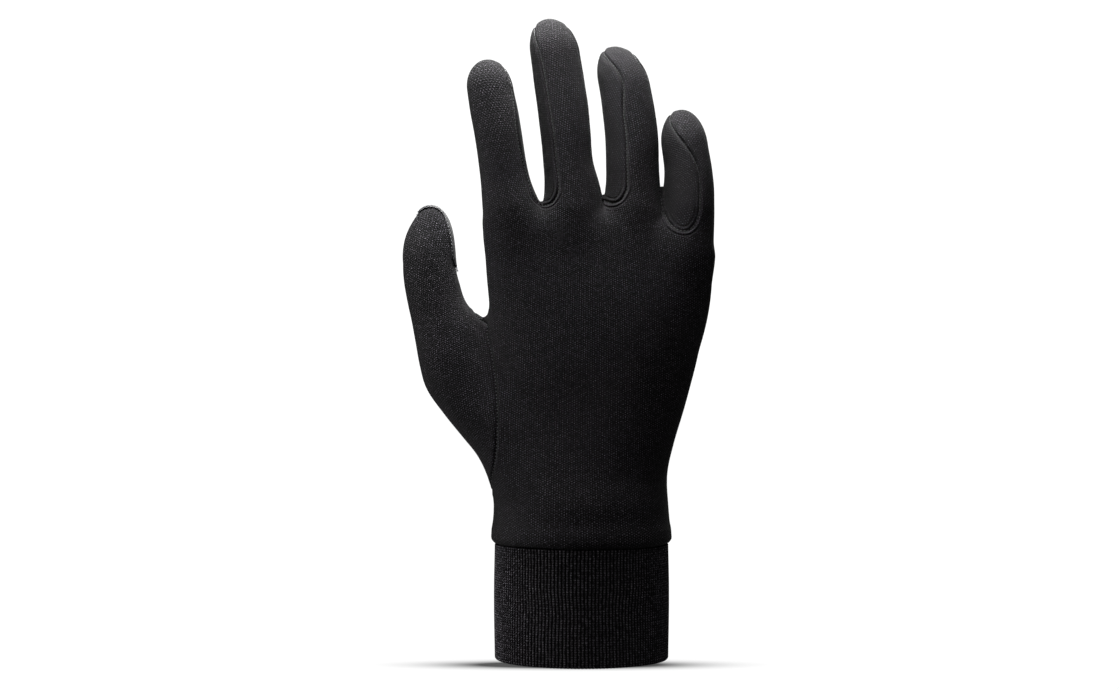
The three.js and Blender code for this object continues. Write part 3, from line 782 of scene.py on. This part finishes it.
def chains(edges):
    """Edges joined end to end into lines of points."""
    links = {}
    for a, b in edges.tolist():
        links.setdefault(a, []).append(b)
        links.setdefault(b, []).append(a)
    left = {tuple(sorted(edge)) for edge in edges.tolist()}
    ends = [point for point, others in links.items() if len(others) != 2]
    lines = []
    for start in ends + list(links):
        for following in links[start]:
            if tuple(sorted((start, following))) not in left:
                continue
            line = [start]
            point = following
            while True:
                left.discard(tuple(sorted((line[-1], point))))
                line.append(point)
                if len(links[point]) != 2:
                    break
                onward = [o for o in links[point] if tuple(sorted((point, o))) in left]
                if not onward:
                    break
                point = onward[0]
            lines.append(line)
    return lines


def evened(line, rounds):
    """A line of points with its small steps smoothed out."""
    line = line.copy()
    for _ in range(rounds):
        line[1:-1] += 0.5 * ((line[:-2] + line[2:]) / 2 - line[1:-1])
    return line


def resampled(line, pitch):
    """Points at an even pitch along a line, and its direction there."""
    steps = np.linalg.norm(np.diff(line, axis=0), axis=1)
    along = np.concatenate([[0], np.cumsum(steps)])
    count = max(int(along[-1] / pitch), 1)
    places = (np.arange(count) + 0.5) * along[-1] / count
    behind, at, ahead = (
        np.stack([np.interp(places + shift, along, line[:, i]) for i in range(3)], 1)
        for shift in (-STITCH_SIGHT, 0, STITCH_SIGHT)
    )
    run = ahead - behind
    return at, run / np.maximum(np.linalg.norm(run, axis=1, keepdims=True), 1e-9)


def stitches(places, runs, normals, length, width):
    """Small rounded stitches of thread lying along a seam, as points and faces."""
    sides = np.cross(normals, runs)
    count = STITCH_SIDES
    turn = np.arange(count) * 2 * math.pi / count
    points, faces = [], []
    for at, run, normal, side in zip(places, runs, normals, sides):
        base = len(points)
        for along, girth in STITCH_RINGS:
            middle = at + run * along * length
            for c, s in zip(np.cos(turn), np.sin(turn)):
                points.append(middle + girth * (side * c + normal * s) * width / 2)
        for ring in range(len(STITCH_RINGS) - 1):
            for i in range(count):
                j = (i + 1) % count
                low = base + ring * count
                faces.append((low + i, low + j, low + count + j, low + count + i))
    return np.array(points), faces


class Shader:
    """A material's nodes, with arithmetic written as calls."""

    def __init__(self, name):
        self.material = bpy.data.materials.new(name)
        self.material.use_nodes = True
        self.tree = self.material.node_tree
        self.surface = self.tree.nodes["Principled BSDF"]

    def node(self, kind, **settings):
        node = self.tree.nodes.new(kind)
        for key, value in settings.items():
            setattr(node, key, value)
        return node

    def feed(self, socket, value):
        if isinstance(value, (int, float, tuple)):
            socket.default_value = value
        else:
            self.tree.links.new(value, socket)

    def math(self, operation, *values):
        node = self.node("ShaderNodeMath", operation=operation)
        for socket, value in zip(node.inputs, values):
            self.feed(socket, value)
        return node.outputs[0]

    def add(self, a, b):
        return self.math("ADD", a, b)

    def times(self, a, b):
        return self.math("MULTIPLY", a, b)

    def line(self, value, slope, start):
        """A value times a slope, from a start."""
        return self.add(self.times(value, slope), start)

    def wave(self, value):
        """A cosine of a value counted in turns."""
        return self.math("COSINE", self.times(value, 2 * math.pi))

    def hump(self, value, centre, width):
        """One at the centre, falling off softly to nothing."""
        offset = self.times(self.add(value, -centre), 1 / width)
        return self.math("EXPONENT", self.times(self.times(offset, offset), -1))

    def cloth_place(self):
        """Millimetres across and along the cloth."""
        node = self.node("ShaderNodeUVMap", uv_map="knit")
        parts = self.node("ShaderNodeSeparateXYZ")
        self.tree.links.new(node.outputs[0], parts.inputs[0])
        return parts.outputs[0], parts.outputs[1]

    def attribute(self, name):
        return self.node("ShaderNodeAttribute", attribute_name=name).outputs["Fac"]

    def noise(self, size, detail=2.0):
        """Noise about a size in millimetres, fixed to the object."""
        place = self.node("ShaderNodeTexCoord")
        node = self.node("ShaderNodeTexNoise")
        self.tree.links.new(place.outputs["Object"], node.inputs["Vector"])
        node.inputs["Scale"].default_value = 1000 / size
        node.inputs["Detail"].default_value = detail
        return node.outputs[0]

    def mix(self, share, first, second):
        node = self.node("ShaderNodeMix", data_type="RGBA")
        self.feed(node.inputs[0], share)
        self.feed(node.inputs[6], first)
        self.feed(node.inputs[7], second)
        return node.outputs[2]

    def bump(self, height, depth):
        """Relief of a depth in millimetres."""
        node = self.node("ShaderNodeBump")
        node.inputs["Distance"].default_value = depth * MM
        self.tree.links.new(height, node.inputs["Height"])
        self.tree.links.new(node.outputs[0], self.surface.inputs["Normal"])

    def paint(self, tone, light):
        """A base colour made lighter and darker."""
        shaded = self.node("ShaderNodeVectorMath", operation="SCALE")
        self.tree.links.new(tone, shaded.inputs[0])
        self.tree.links.new(light, shaded.inputs["Scale"])
        self.tree.links.new(shaded.outputs[0], self.surface.inputs["Base Color"])

    def rim(self):
        """One where the surface turns away from the eye, falling off fast; it paints shade at the
        knit's rims.
        """
        facing = self.node("ShaderNodeLayerWeight").outputs["Facing"]
        return self.math("POWER", facing, RIM_POWER)

    def set(self, **values):
        for key, value in values.items():
            self.surface.inputs[key.replace("_", " ")].default_value = value


def knit_stitches(shader, across, along, offset, right_leg=1.0, left_leg=0.6):
    """The height of jersey's V stitches, from 0 to 1, each column raised over the last by offset."""
    column = shader.math("FLOOR", across)
    side = shader.add(shader.math("FRACT", across), -0.5)
    slant = shader.math("ABSOLUTE", side)
    leg = shader.math("SINE", shader.times(slant, 2 * math.pi))
    turn = shader.add(shader.add(along, shader.times(column, -offset)), shader.times(slant, -1))
    loop = shader.line(shader.wave(turn), -0.5, 0.5)
    right = shader.math("GREATER_THAN", side, 0)
    weight = shader.line(right, right_leg - left_leg, left_leg)
    return shader.times(shader.times(leg, loop), weight)


def grain(shader, size, contrast):
    """Uneven yarn, about 0.5 on average."""
    spread = shader.times(shader.add(shader.noise(size), -0.5), contrast)
    return shader.math("MAXIMUM", shader.add(spread, 0.5), 0.0)


def specks(shader, share, light):
    """Bright fibre ends here and there."""
    return shader.times(shader.math("GREATER_THAN", shader.noise(SPECK_SIZE, 1), share), light)


def body_knit():
    shader = Shader("body_knit")
    u, v = shader.cloth_place()
    wander = shader.times(shader.add(shader.noise(WANDER_SIZE), -0.5), WANDER)
    across = shader.line(u, 1 / KNIT_PITCH, wander)
    along = shader.line(v, 1 / KNIT_PITCH, wander)
    height = knit_stitches(shader, across, along, 0.5)
    fuzz = grain(shader, FUZZ_SIZE, FUZZ_CONTRAST)
    seam = shader.attribute("seam")
    web = shader.attribute("web")
    second = shader.times(shader.hump(seam, SECOND_GROOVE_PLACE, SECOND_GROOVE_WIDTH), web)
    second = shader.times(second, SECOND_GROOVE)
    groove = shader.math("MAXIMUM", shader.hump(seam, 0, GROOVE_WIDTH), second)
    welt = shader.times(shader.hump(seam, WELT_PLACE, WELT_WIDTH), web)
    relief = shader.add(height, shader.times(fuzz, FUZZ_RELIEF))
    relief = shader.add(relief, shader.times(groove, GROOVE_RELIEF))
    relief = shader.add(relief, shader.times(welt, WELT_RELIEF))
    shader.bump(relief, KNIT_BUMP)
    tone = shader.mix(shader.noise(KNIT_TONE_SIZE, 3), KNIT_WARM, KNIT_COOL)
    height = shader.math("POWER", height, KNIT_CONTRAST)
    yarn = shader.line(fuzz, FUZZ_LIGHT, KNIT_LIGHT)
    # Painted shade: the gaps between the stitches are painted darker than their crowns, with the
    # yarn's own unevenness on top.
    light = shader.line(height, yarn, KNIT_SHADOW)
    # Painted shade in the seam grooves and a painted highlight on the welts near the webs.
    light = shader.times(light, shader.line(groove, GROOVE_SHADE, 1))
    light = shader.add(light, shader.times(welt, WELT_LIGHT))
    # Painted shade: the fourchettes' colour is darkened where they turn into the webs.
    painted_shade = shader.times(shader.attribute("painted_shade"), -GUSSET_PAINTED_SHADE)
    light = shader.times(light, shader.add(painted_shade, 1))
    light = shader.add(light, specks(shader, SPECK_SHARE, SPECK_LIGHT))
    # Painted shade: the colour is darkened where the surface turns away from the eye.
    rim = shader.line(shader.rim(), -RIM_PAINTED_SHADE, 1)
    shader.paint(tone, shader.times(light, rim))
    shader.set(Roughness=0.85, Specular_IOR_Level=0.04, Sheen_Weight=0.008, Sheen_Roughness=0.5)
    return shader.material


def rib_knit():
    shader = Shader("cuff_rib")
    u, v = shader.cloth_place()
    height = knit_stitches(shader, u, shader.times(v, 1 / RIB_COURSE), 0.0, 0.95, 0.8)
    fuzz = grain(shader, RIB_FUZZ_SIZE, RIB_FUZZ_CONTRAST)
    shader.bump(shader.add(height, shader.times(fuzz, RIB_FUZZ_RELIEF)), RIB_BUMP)
    ridge = shader.line(shader.wave(u), -0.5, 0.5)
    ridge = shader.math("POWER", ridge, RIB_CONTRAST)
    tone = shader.mix(shader.noise(RIB_TONE_SIZE, 3), RIB_WARM, RIB_COOL)
    yarn = shader.line(fuzz, RIB_FUZZ_LIGHT, RIB_LOOP_LIGHT)
    # Painted light and shade: stitch gaps and rib valleys are painted darker, the rib ridges lighter.
    light = shader.line(height, yarn, RIB_SHADOW)
    fold = shader.line(ridge, RIB_RIDGE_LIGHT, RIB_VALLEY_LIGHT)
    light = shader.times(light, fold)
    shader.paint(tone, shader.add(light, specks(shader, RIB_SPECK_SHARE, RIB_SPECK_LIGHT)))
    shader.set(Roughness=0.9, Specular_IOR_Level=0.03, Sheen_Weight=0.004, Sheen_Roughness=0.5)
    return shader.material


def patch_knit():
    shader = Shader("touch_patch")
    u, v = shader.cloth_place()
    across, along = shader.times(u, 1 / PATCH_PITCH), shader.times(v, 1 / PATCH_PITCH)
    height = knit_stitches(shader, across, along, 0.5)
    fuzz = grain(shader, PATCH_FUZZ_SIZE, PATCH_FUZZ_CONTRAST)
    shader.bump(shader.add(height, fuzz), PATCH_BUMP)
    tone = shader.mix(shader.noise(PATCH_TONE_SIZE, 2), PATCH_DARK, PATCH_LIGHT)
    # Painted shade: the gaps between the patch's stitches are painted darker than their crowns, with
    # the yarn's unevenness on top.
    shader.paint(tone, shader.add(shader.times(height, shader.add(fuzz, 0.5)), 0.6))
    shader.set(Roughness=0.5, Specular_IOR_Level=0.12, Sheen_Weight=0.01)
    return shader.material


def thread(name, color, roughness):
    shader = Shader(name)
    fibre = shader.noise(FIBRE_SIZE, 2)
    shader.bump(fibre, FIBRE_BUMP)
    dark, light = (tuple(share * c for c in color[:3]) + (1,) for share in FIBRE_SHADES)
    tone = shader.mix(fibre, dark, light)
    shader.tree.links.new(tone, shader.surface.inputs["Base Color"])
    shader.set(Roughness=roughness, Specular_IOR_Level=0.3)
    return shader.material


def cut_between(mesh, groups):
    """Marks the edges between two groups of triangles, where the cloth comes apart."""
    loop_edges = np.empty(len(mesh.loops), int)
    mesh.loops.foreach_get("edge_index", loop_edges)
    owners = np.repeat(groups, 3)
    low = np.full(len(mesh.edges), groups.max() + 1)
    high = np.full(len(mesh.edges), -1)
    np.minimum.at(low, loop_edges, owners)
    np.maximum.at(high, loop_edges, owners)
    mesh.edges.foreach_set("use_seam", low < high)


def unwrapped(obj):
    """The cloth's flat places, corner by corner."""
    bpy.context.view_layer.objects.active = obj
    obj.select_set(True)
    bpy.ops.object.mode_set(mode="EDIT")
    bpy.ops.mesh.select_all(action="SELECT")
    bpy.ops.uv.unwrap(method="ANGLE_BASED", margin=0.001)
    bpy.ops.object.mode_set(mode="OBJECT")
    obj.select_set(False)
    flat = np.empty(2 * len(obj.data.loops))
    obj.data.uv_layers["knit"].uv.foreach_get("vector", flat)
    return flat.reshape(-1, 2)


def flatten(obj, groups):
    """Lays the cloth flat, in millimetres along and across the hand, as it was before sewing."""
    mesh = obj.data
    mesh.uv_layers.new(name="knit")
    if groups.max() > groups.min():
        cut_between(mesh, groups)
    uv = unwrapped(obj)
    where = np.empty(len(mesh.loops), int)
    mesh.loops.foreach_get("vertex_index", where)
    spots = np.empty(3 * len(mesh.vertices))
    mesh.vertices.foreach_get("co", spots)
    spots = spots.reshape(-1, 3)[where] / MM
    loop_groups = np.repeat(groups, 3)
    for group in np.unique(groups):
        mine = loop_groups == group
        flat, real = uv[mine].reshape(-1, 3, 2), spots[mine].reshape(-1, 3, 3)
        flat_length = np.linalg.norm(flat[:, 1] - flat[:, 0], axis=1)
        real_length = np.linalg.norm(real[:, 1] - real[:, 0], axis=1)
        usable = flat_length > 1e-9
        scale = np.median(real_length[usable] / flat_length[usable])
        centred = uv[mine] - uv[mine].mean(0)
        rise = real[:, :, 2].ravel()
        slope = np.linalg.lstsq(centred, rise - rise.mean(), rcond=None)[0]
        up = slope / max(np.linalg.norm(slope), 1e-9)
        right = np.array([up[1], -up[0]])
        uv[mine] = np.stack([centred @ right, centred @ up], 1) * scale
    mesh.uv_layers["knit"].uv.foreach_set("vector", uv.ravel())


def store(obj, name, values):
    attribute = obj.data.attributes.new(name, "FLOAT", "POINT")
    attribute.data.foreach_set("value", np.asarray(values, np.float32))


def attach(obj, node):
    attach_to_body(obj, "root")
    if node:
        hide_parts(node)


def thicken(obj, thickness):
    wall = obj.modifiers.new("wall", "SOLIDIFY")
    wall.thickness = thickness * MM
    wall.offset = -1


def cuff_rows():
    """How far in and how high each ring of the cuff is, from its top, round the fold and up inside."""
    top = CUFF_HEIGHT - CUFF_TUCK
    low = np.linspace(CUFF_HEIGHT - CUFF_ROWS_DROP, FOLD_RADIUS, CUFF_ROWS)
    turns = np.linspace(0, math.pi, FOLD_ROWS)[1:-1]
    outside = [(0, top - drop) for drop in CUFF_TOP_ROWS] + [(0, z) for z in low]
    fold = [(FOLD_RADIUS * (1 - math.cos(t)), FOLD_RADIUS * (1 - math.sin(t))) for t in turns]
    inside = [(2 * FOLD_RADIUS, z) for z in np.linspace(FOLD_RADIUS, top, CUFF_INSIDE_ROWS)]
    return outside + fold + inside


def cuff_ring(angle, inset, z):
    """One ring of the cuff's points, with ribs that sway a little and a slack wall."""
    wide, deep = CUFF_WIDTH / 2, CUFF_DEPTH / 2
    swing = RIB_SWAY * math.sin(z / 9) + RIB_SWAY_FINE * math.sin(z / 3.1 + 1)
    turned = angle + swing / wide * np.sin(angle * 3 + z / 20)
    relief = -RIB_RELIEF * (0.5 + 0.5 * np.cos(angle * RIBS))
    fade = np.clip((2 * FOLD_RADIUS - inset) / FOLD_RADIUS, 0.25, 1)
    bulge = math.sin(math.pi * min(max(z, 0) / CUFF_HEIGHT, 1))
    slack = CUFF_SLACK * np.sin(angle * 2 + 0.6 + z / 30) * bulge
    out = relief * fade + slack - inset
    x, y = (wide + out) * np.cos(turned), (deep + out) * np.sin(turned)
    return np.stack([x, y, np.full(len(angle), z)], 1)


def rib_cuff(material):
    """The cuff's outside with its ribs, its rounded fold and its plain inside."""
    columns = RIBS * RIB_POINTS
    angle = np.arange(columns) * 2 * math.pi / columns
    rows = cuff_rows()
    points = np.concatenate([cuff_ring(angle, inset, z) for inset, z in rows])
    faces, uv = [], []
    travel = np.concatenate([[0], np.cumsum([math.dist(a, b) for a, b in zip(rows, rows[1:])])])
    for row in range(len(rows) - 1):
        start, below = row * columns, (row + 1) * columns
        high, low = -travel[row], -travel[row + 1]
        for i in range(columns):
            j = (i + 1) % columns
            faces.append((start + i, below + i, below + j, start + j))
            left, right = i / RIB_POINTS, (i + 1) / RIB_POINTS
            uv += [(left, high), (left, low), (right, low), (right, high)]
    obj = mesh_object("rib_cuff_knit", points, faces, material)
    layer = obj.data.uv_layers.new(name="knit")
    layer.uv.foreach_set("vector", np.array(uv).ravel())
    attach(obj, "rib_cuff")


def thumb_patch(points, triangles, material):
    """The touch patch, lying over the thumb's end."""
    place = PLACES["thumb"]
    x, y, z = points.T
    up = (z - place.root_z) / place.length
    centre = place.centre(z)[1]
    width = place.row["width"]
    back = x - place.tip_x - curve(PATCH_EDGE["up"], PATCH_EDGE["back"])(up) * width
    palm = x - place.tip_x - curve(PATCH_EDGE["up"], PATCH_EDGE["palm"])(up) * width
    half = either_half(back, palm, y - centre)
    foot = (up - PATCH_EDGE["up"][0]) * place.length
    thumb_only = place.tip_x + PATCH_REACH * width - x
    edges = edges_of(triangles)
    values = np.minimum(np.minimum(half, foot), thumb_only)
    values = averaged(values, edges, PATCH_ROUNDS)
    moved, values, _ = snapped(points, edges, values, np.zeros(len(points), bool))
    part = triangles[values[triangles].sum(1) > 0]
    used = np.unique(part)
    base = moved[used]
    part = np.searchsorted(used, part)
    rim = np.unique(open_edges(part))
    away = nearest_distance(base, lookup(base[rim]), PATCH_FAR)
    lift = PATCH_GAP + PATCH_THICKNESS * np.minimum(1, PATCH_RIM + away / PATCH_RIM_WIDTH)
    raised = base + outward(base) * lift[:, None]
    obj = mesh_object("thumb_tip_patch_skin", raised, part, material)
    flatten(obj, np.zeros(len(part), int))
    thicken(obj, PATCH_THICKNESS * PATCH_SKIN)
    attach(obj, "thumb_tip_patch")
    low = rim[base[rim, 2] < base[rim, 2].min() + FRAY_CORNER]
    return base, part, base[low[np.argmax(base[low, 0])]]


def open_edges(triangles):
    sides = np.sort(sides_of(triangles), 1)
    edges, count = np.unique(sides, axis=0, return_counts=True)
    return edges[count == 1]


def frayed_end(corner, material):
    """A tuft of cut thread ends at the patch's lower corner."""
    spread = np.linspace(-1, 1, FRAY_STRANDS)
    sideways = 0.3 * spread - 0.1
    forward = -0.25 + 0.1 * np.cos(9 * spread)
    down = -1 + 0.5 * np.abs(spread)
    runs = np.stack([sideways, forward, down], 1)
    runs /= np.linalg.norm(runs, axis=1, keepdims=True)
    normals = np.cross(runs, (0, 1, 0))
    normals /= np.linalg.norm(normals, axis=1, keepdims=True)
    places = corner + runs * FRAY_LENGTH * FRAY_OVERLAP
    verts, faces = stitches(places, runs, normals, FRAY_LENGTH, FRAY_WIDTH)
    attach(mesh_object("patch_frayed_end", verts, faces, material), None)


def sewing(name, points, lines, material):
    """Thread stitches along lines of points."""
    size = STITCHES[name]
    places, runs = [], []
    for line in lines:
        if len(line) < 4:
            continue
        at, run = resampled(evened(points[line], 4), size["pitch"])
        places.append(at)
        runs.append(run)
    places, runs = np.concatenate(places), np.concatenate(runs)
    normals = outward(places)
    runs = runs - (runs * normals).sum(1, keepdims=True) * normals
    runs /= np.maximum(np.linalg.norm(runs, axis=1, keepdims=True), 1e-9)
    raised = places + normals * size["lift"]
    verts, faces = stitches(raised, runs, normals, size["length"], size["width"])
    attach(mesh_object(name, verts, faces, material), None)


def gusset_painted_shade(points, normals, gusset, away, feet):
    """How much shade is painted on a fourchette's cloth: most where it turns away into the web."""
    up = np.clip((points[:, 2] - feet[:, 2].min()) / GUSSET_SHADE_RISE, 0, 1)
    sideways = np.clip(GUSSET_SHADE_FRONT + np.abs(normals[:, 0]), 0, 1)
    inner = np.clip(away / GUSSET_SHADE_EDGE, 0, 1)
    return gusset * inner * sideways * (1 - GUSSET_SHADE_FADE * up)


def glove(materials):
    points, triangles = draw_surface()
    points = ease_knuckles(points, triangles)
    points, owner, names = cut_pattern(points, triangles)
    thumb = names.index("thumb_piece")
    seams, parties = seam_edges(triangles, owner)
    away = nearest_distance(points, lookup(points[np.unique(seams)]), SEAM_FAR)
    feet = web_feet(points, seams, parties)
    webs = nearest_distance(points, lookup(feet), WEB_FAR)
    web = np.exp(-((webs / WELT_REACH) ** 2))
    normals = outward(points)
    gusset = np.zeros(len(points), bool)
    gusset[triangles[(owner >= 2) & (owner < thumb)].ravel()] = True
    hollow = -GUSSET_HOLLOW * np.clip(away / GUSSET_REACH, 0, 1) ** GUSSET_BOWL * gusset
    lift = seam_relief(away) + slack_relief(points) + hollow
    shaped = points + normals * lift[:, None]
    # Painted shade for the fourchettes, stored on the points for the knit's colour.
    painted_shade = gusset_painted_shade(points, normals, gusset, away, feet)
    for i, name in enumerate(names):
        part = triangles[owner == i]
        used = np.unique(part)
        faces = np.searchsorted(used, part)
        obj = mesh_object(name + "_knit", shaped[used], faces, materials["body"])
        groups = np.zeros(len(part), int)
        if i == thumb:
            middle = points[part].mean(1)
            groups = (middle[:, 1] > PLACES["thumb"].centre(middle[:, 2])[1]).astype(int)
        flatten(obj, groups)
        store(obj, "seam", away[used])
        store(obj, "web", web[used])
        store(obj, "painted_shade", painted_shade[used])
        thicken(obj, WALL)
        attach(obj, name)
    bright = np.isin(parties, thumb).any(1)
    light = materials["bright_thread"]
    sewing("seam_stitches", points, chains(seams[~bright]), materials["thread"])
    sewing("thumb_seam_stitches", points, chains(seams[bright]), light)
    base, part, corner = thumb_patch(points, triangles, materials["patch"])
    lifted = corner + outward(corner[None])[0] * (PATCH_GAP + PATCH_THICKNESS)
    frayed_end(lifted, materials["light_thread"])
    sewing("patch_stitches", base, chains(open_edges(part)), light)


def web_feet(points, seams, parties):
    """The lowest point of each fourchette's seam, on the back and on the palm."""
    feet = []
    for i, spec in enumerate(FOURCHETTES.values()):
        mine = np.unique(seams[(parties == i + 2).any(1)])
        spots = points[mine]
        for side in ("back", "palm"):
            across, up = spec[side]["foot"]
            before = PLACES[spec["digits"][0]]
            foot = np.array([across * PALM_WIDTH, before.root_z + up * before.length])
            behind = spots[:, 1] - SIDES_PART
            facing = behind < 0 if side == "back" else behind > 0
            near = np.linalg.norm(spots[:, [0, 2]] - foot, axis=1) + 1000 * ~facing
            feet.append(spots[np.argmin(near)])
    return np.array(feet)


def camera():
    data = bpy.data.cameras.new("camera")
    data.sensor_width = CAMERA_SENSOR
    data.lens = CAMERA_LENS
    obj = bpy.data.objects.new("camera", data)
    obj.location = CAMERA_PLACE
    obj.rotation_euler = (math.pi / 2, 0, 0)
    bpy.context.scene.collection.objects.link(obj)
    bpy.context.scene.camera = obj


def lamp(name, place, aim, size, power):
    data = bpy.data.lights.new(name, "AREA")
    data.shape = "RECTANGLE"
    data.size, data.size_y = size
    data.energy = power
    obj = bpy.data.objects.new(name, data)
    obj.location = place
    obj.rotation_euler = (Vector(aim) - Vector(place)).to_track_quat("-Z", "Y").to_euler()
    bpy.context.scene.collection.objects.link(obj)


def studio():
    for name, place, aim, size, power in LAMPS:
        lamp(name, place, aim, size, power)
    bpy.context.scene.view_settings.view_transform = "Standard"
    world = bpy.data.worlds.new("world")
    bpy.context.scene.world = world
    world.use_nodes = True
    nodes, links = world.node_tree.nodes, world.node_tree.links
    background = nodes["Background"]
    background.inputs[0].default_value = (1, 1, 1, 1)
    path = nodes.new("ShaderNodeLightPath")
    strength = nodes.new("ShaderNodeMapRange")
    strength.inputs["To Min"].default_value = WORLD_LIGHT
    strength.inputs["To Max"].default_value = CAMERA_WHITE
    links.new(path.outputs["Is Camera Ray"], strength.inputs["Value"])
    links.new(strength.outputs[0], background.inputs[1])


def floor():
    size = FLOOR_SIZE
    points = [(-size, -size, 0), (size, -size, 0), (size, size, 0), (-size, size, 0)]
    shader = Shader("floor")
    shader.surface.inputs["Base Color"].default_value = (FLOOR_COLOR, FLOOR_COLOR, FLOOR_COLOR, 1)
    shader.set(Roughness=0.9, Specular_IOR_Level=0.0)
    place = shader.node("ShaderNodeTexCoord").outputs["Object"]
    parts = shader.node("ShaderNodeSeparateXYZ")
    shader.tree.links.new(place, parts.inputs[0])
    # Painted shadow: a dark streak beside the cuff, lowering the floor's glow rather than cast by the
    # lamps.
    across = shader.hump(parts.outputs[0], SHADOW_MIDDLE * MM, SHADOW_WIDTH * MM)
    deep = shader.hump(parts.outputs[1], -SHADOW_FORWARD * MM, SHADOW_THICKNESS * MM)
    painted_shadow = shader.times(shader.times(across, deep), SHADOW_CORE)
    painted_shadow = shader.math("MINIMUM", painted_shadow, 1.0)
    seen = shader.line(painted_shadow, -SHADOW_DEPTH, FLOOR_WHITE - FLOOR_LIGHT)
    direct = shader.node("ShaderNodeLightPath").outputs["Is Camera Ray"]
    glow = shader.line(seen, direct, FLOOR_LIGHT)
    shader.surface.inputs["Emission Color"].default_value = (1, 1, 1, 1)
    shader.tree.links.new(glow, shader.surface.inputs["Emission Strength"])
    obj = mesh_object("floor", points, [(0, 1, 2, 3)], shader.material)


MATERIALS = {
    "body": body_knit(),
    "cuff": rib_knit(),
    "patch": patch_knit(),
    "thread": thread("dark_thread", DARK_THREAD, 0.6),
    "bright_thread": thread("bright_thread", BRIGHT_THREAD, 0.5),
    "light_thread": thread("light_thread", LIGHT_THREAD, 0.5),
}
camera()
studio()
floor()
glove(MATERIALS)
rib_cuff(MATERIALS["cuff"])
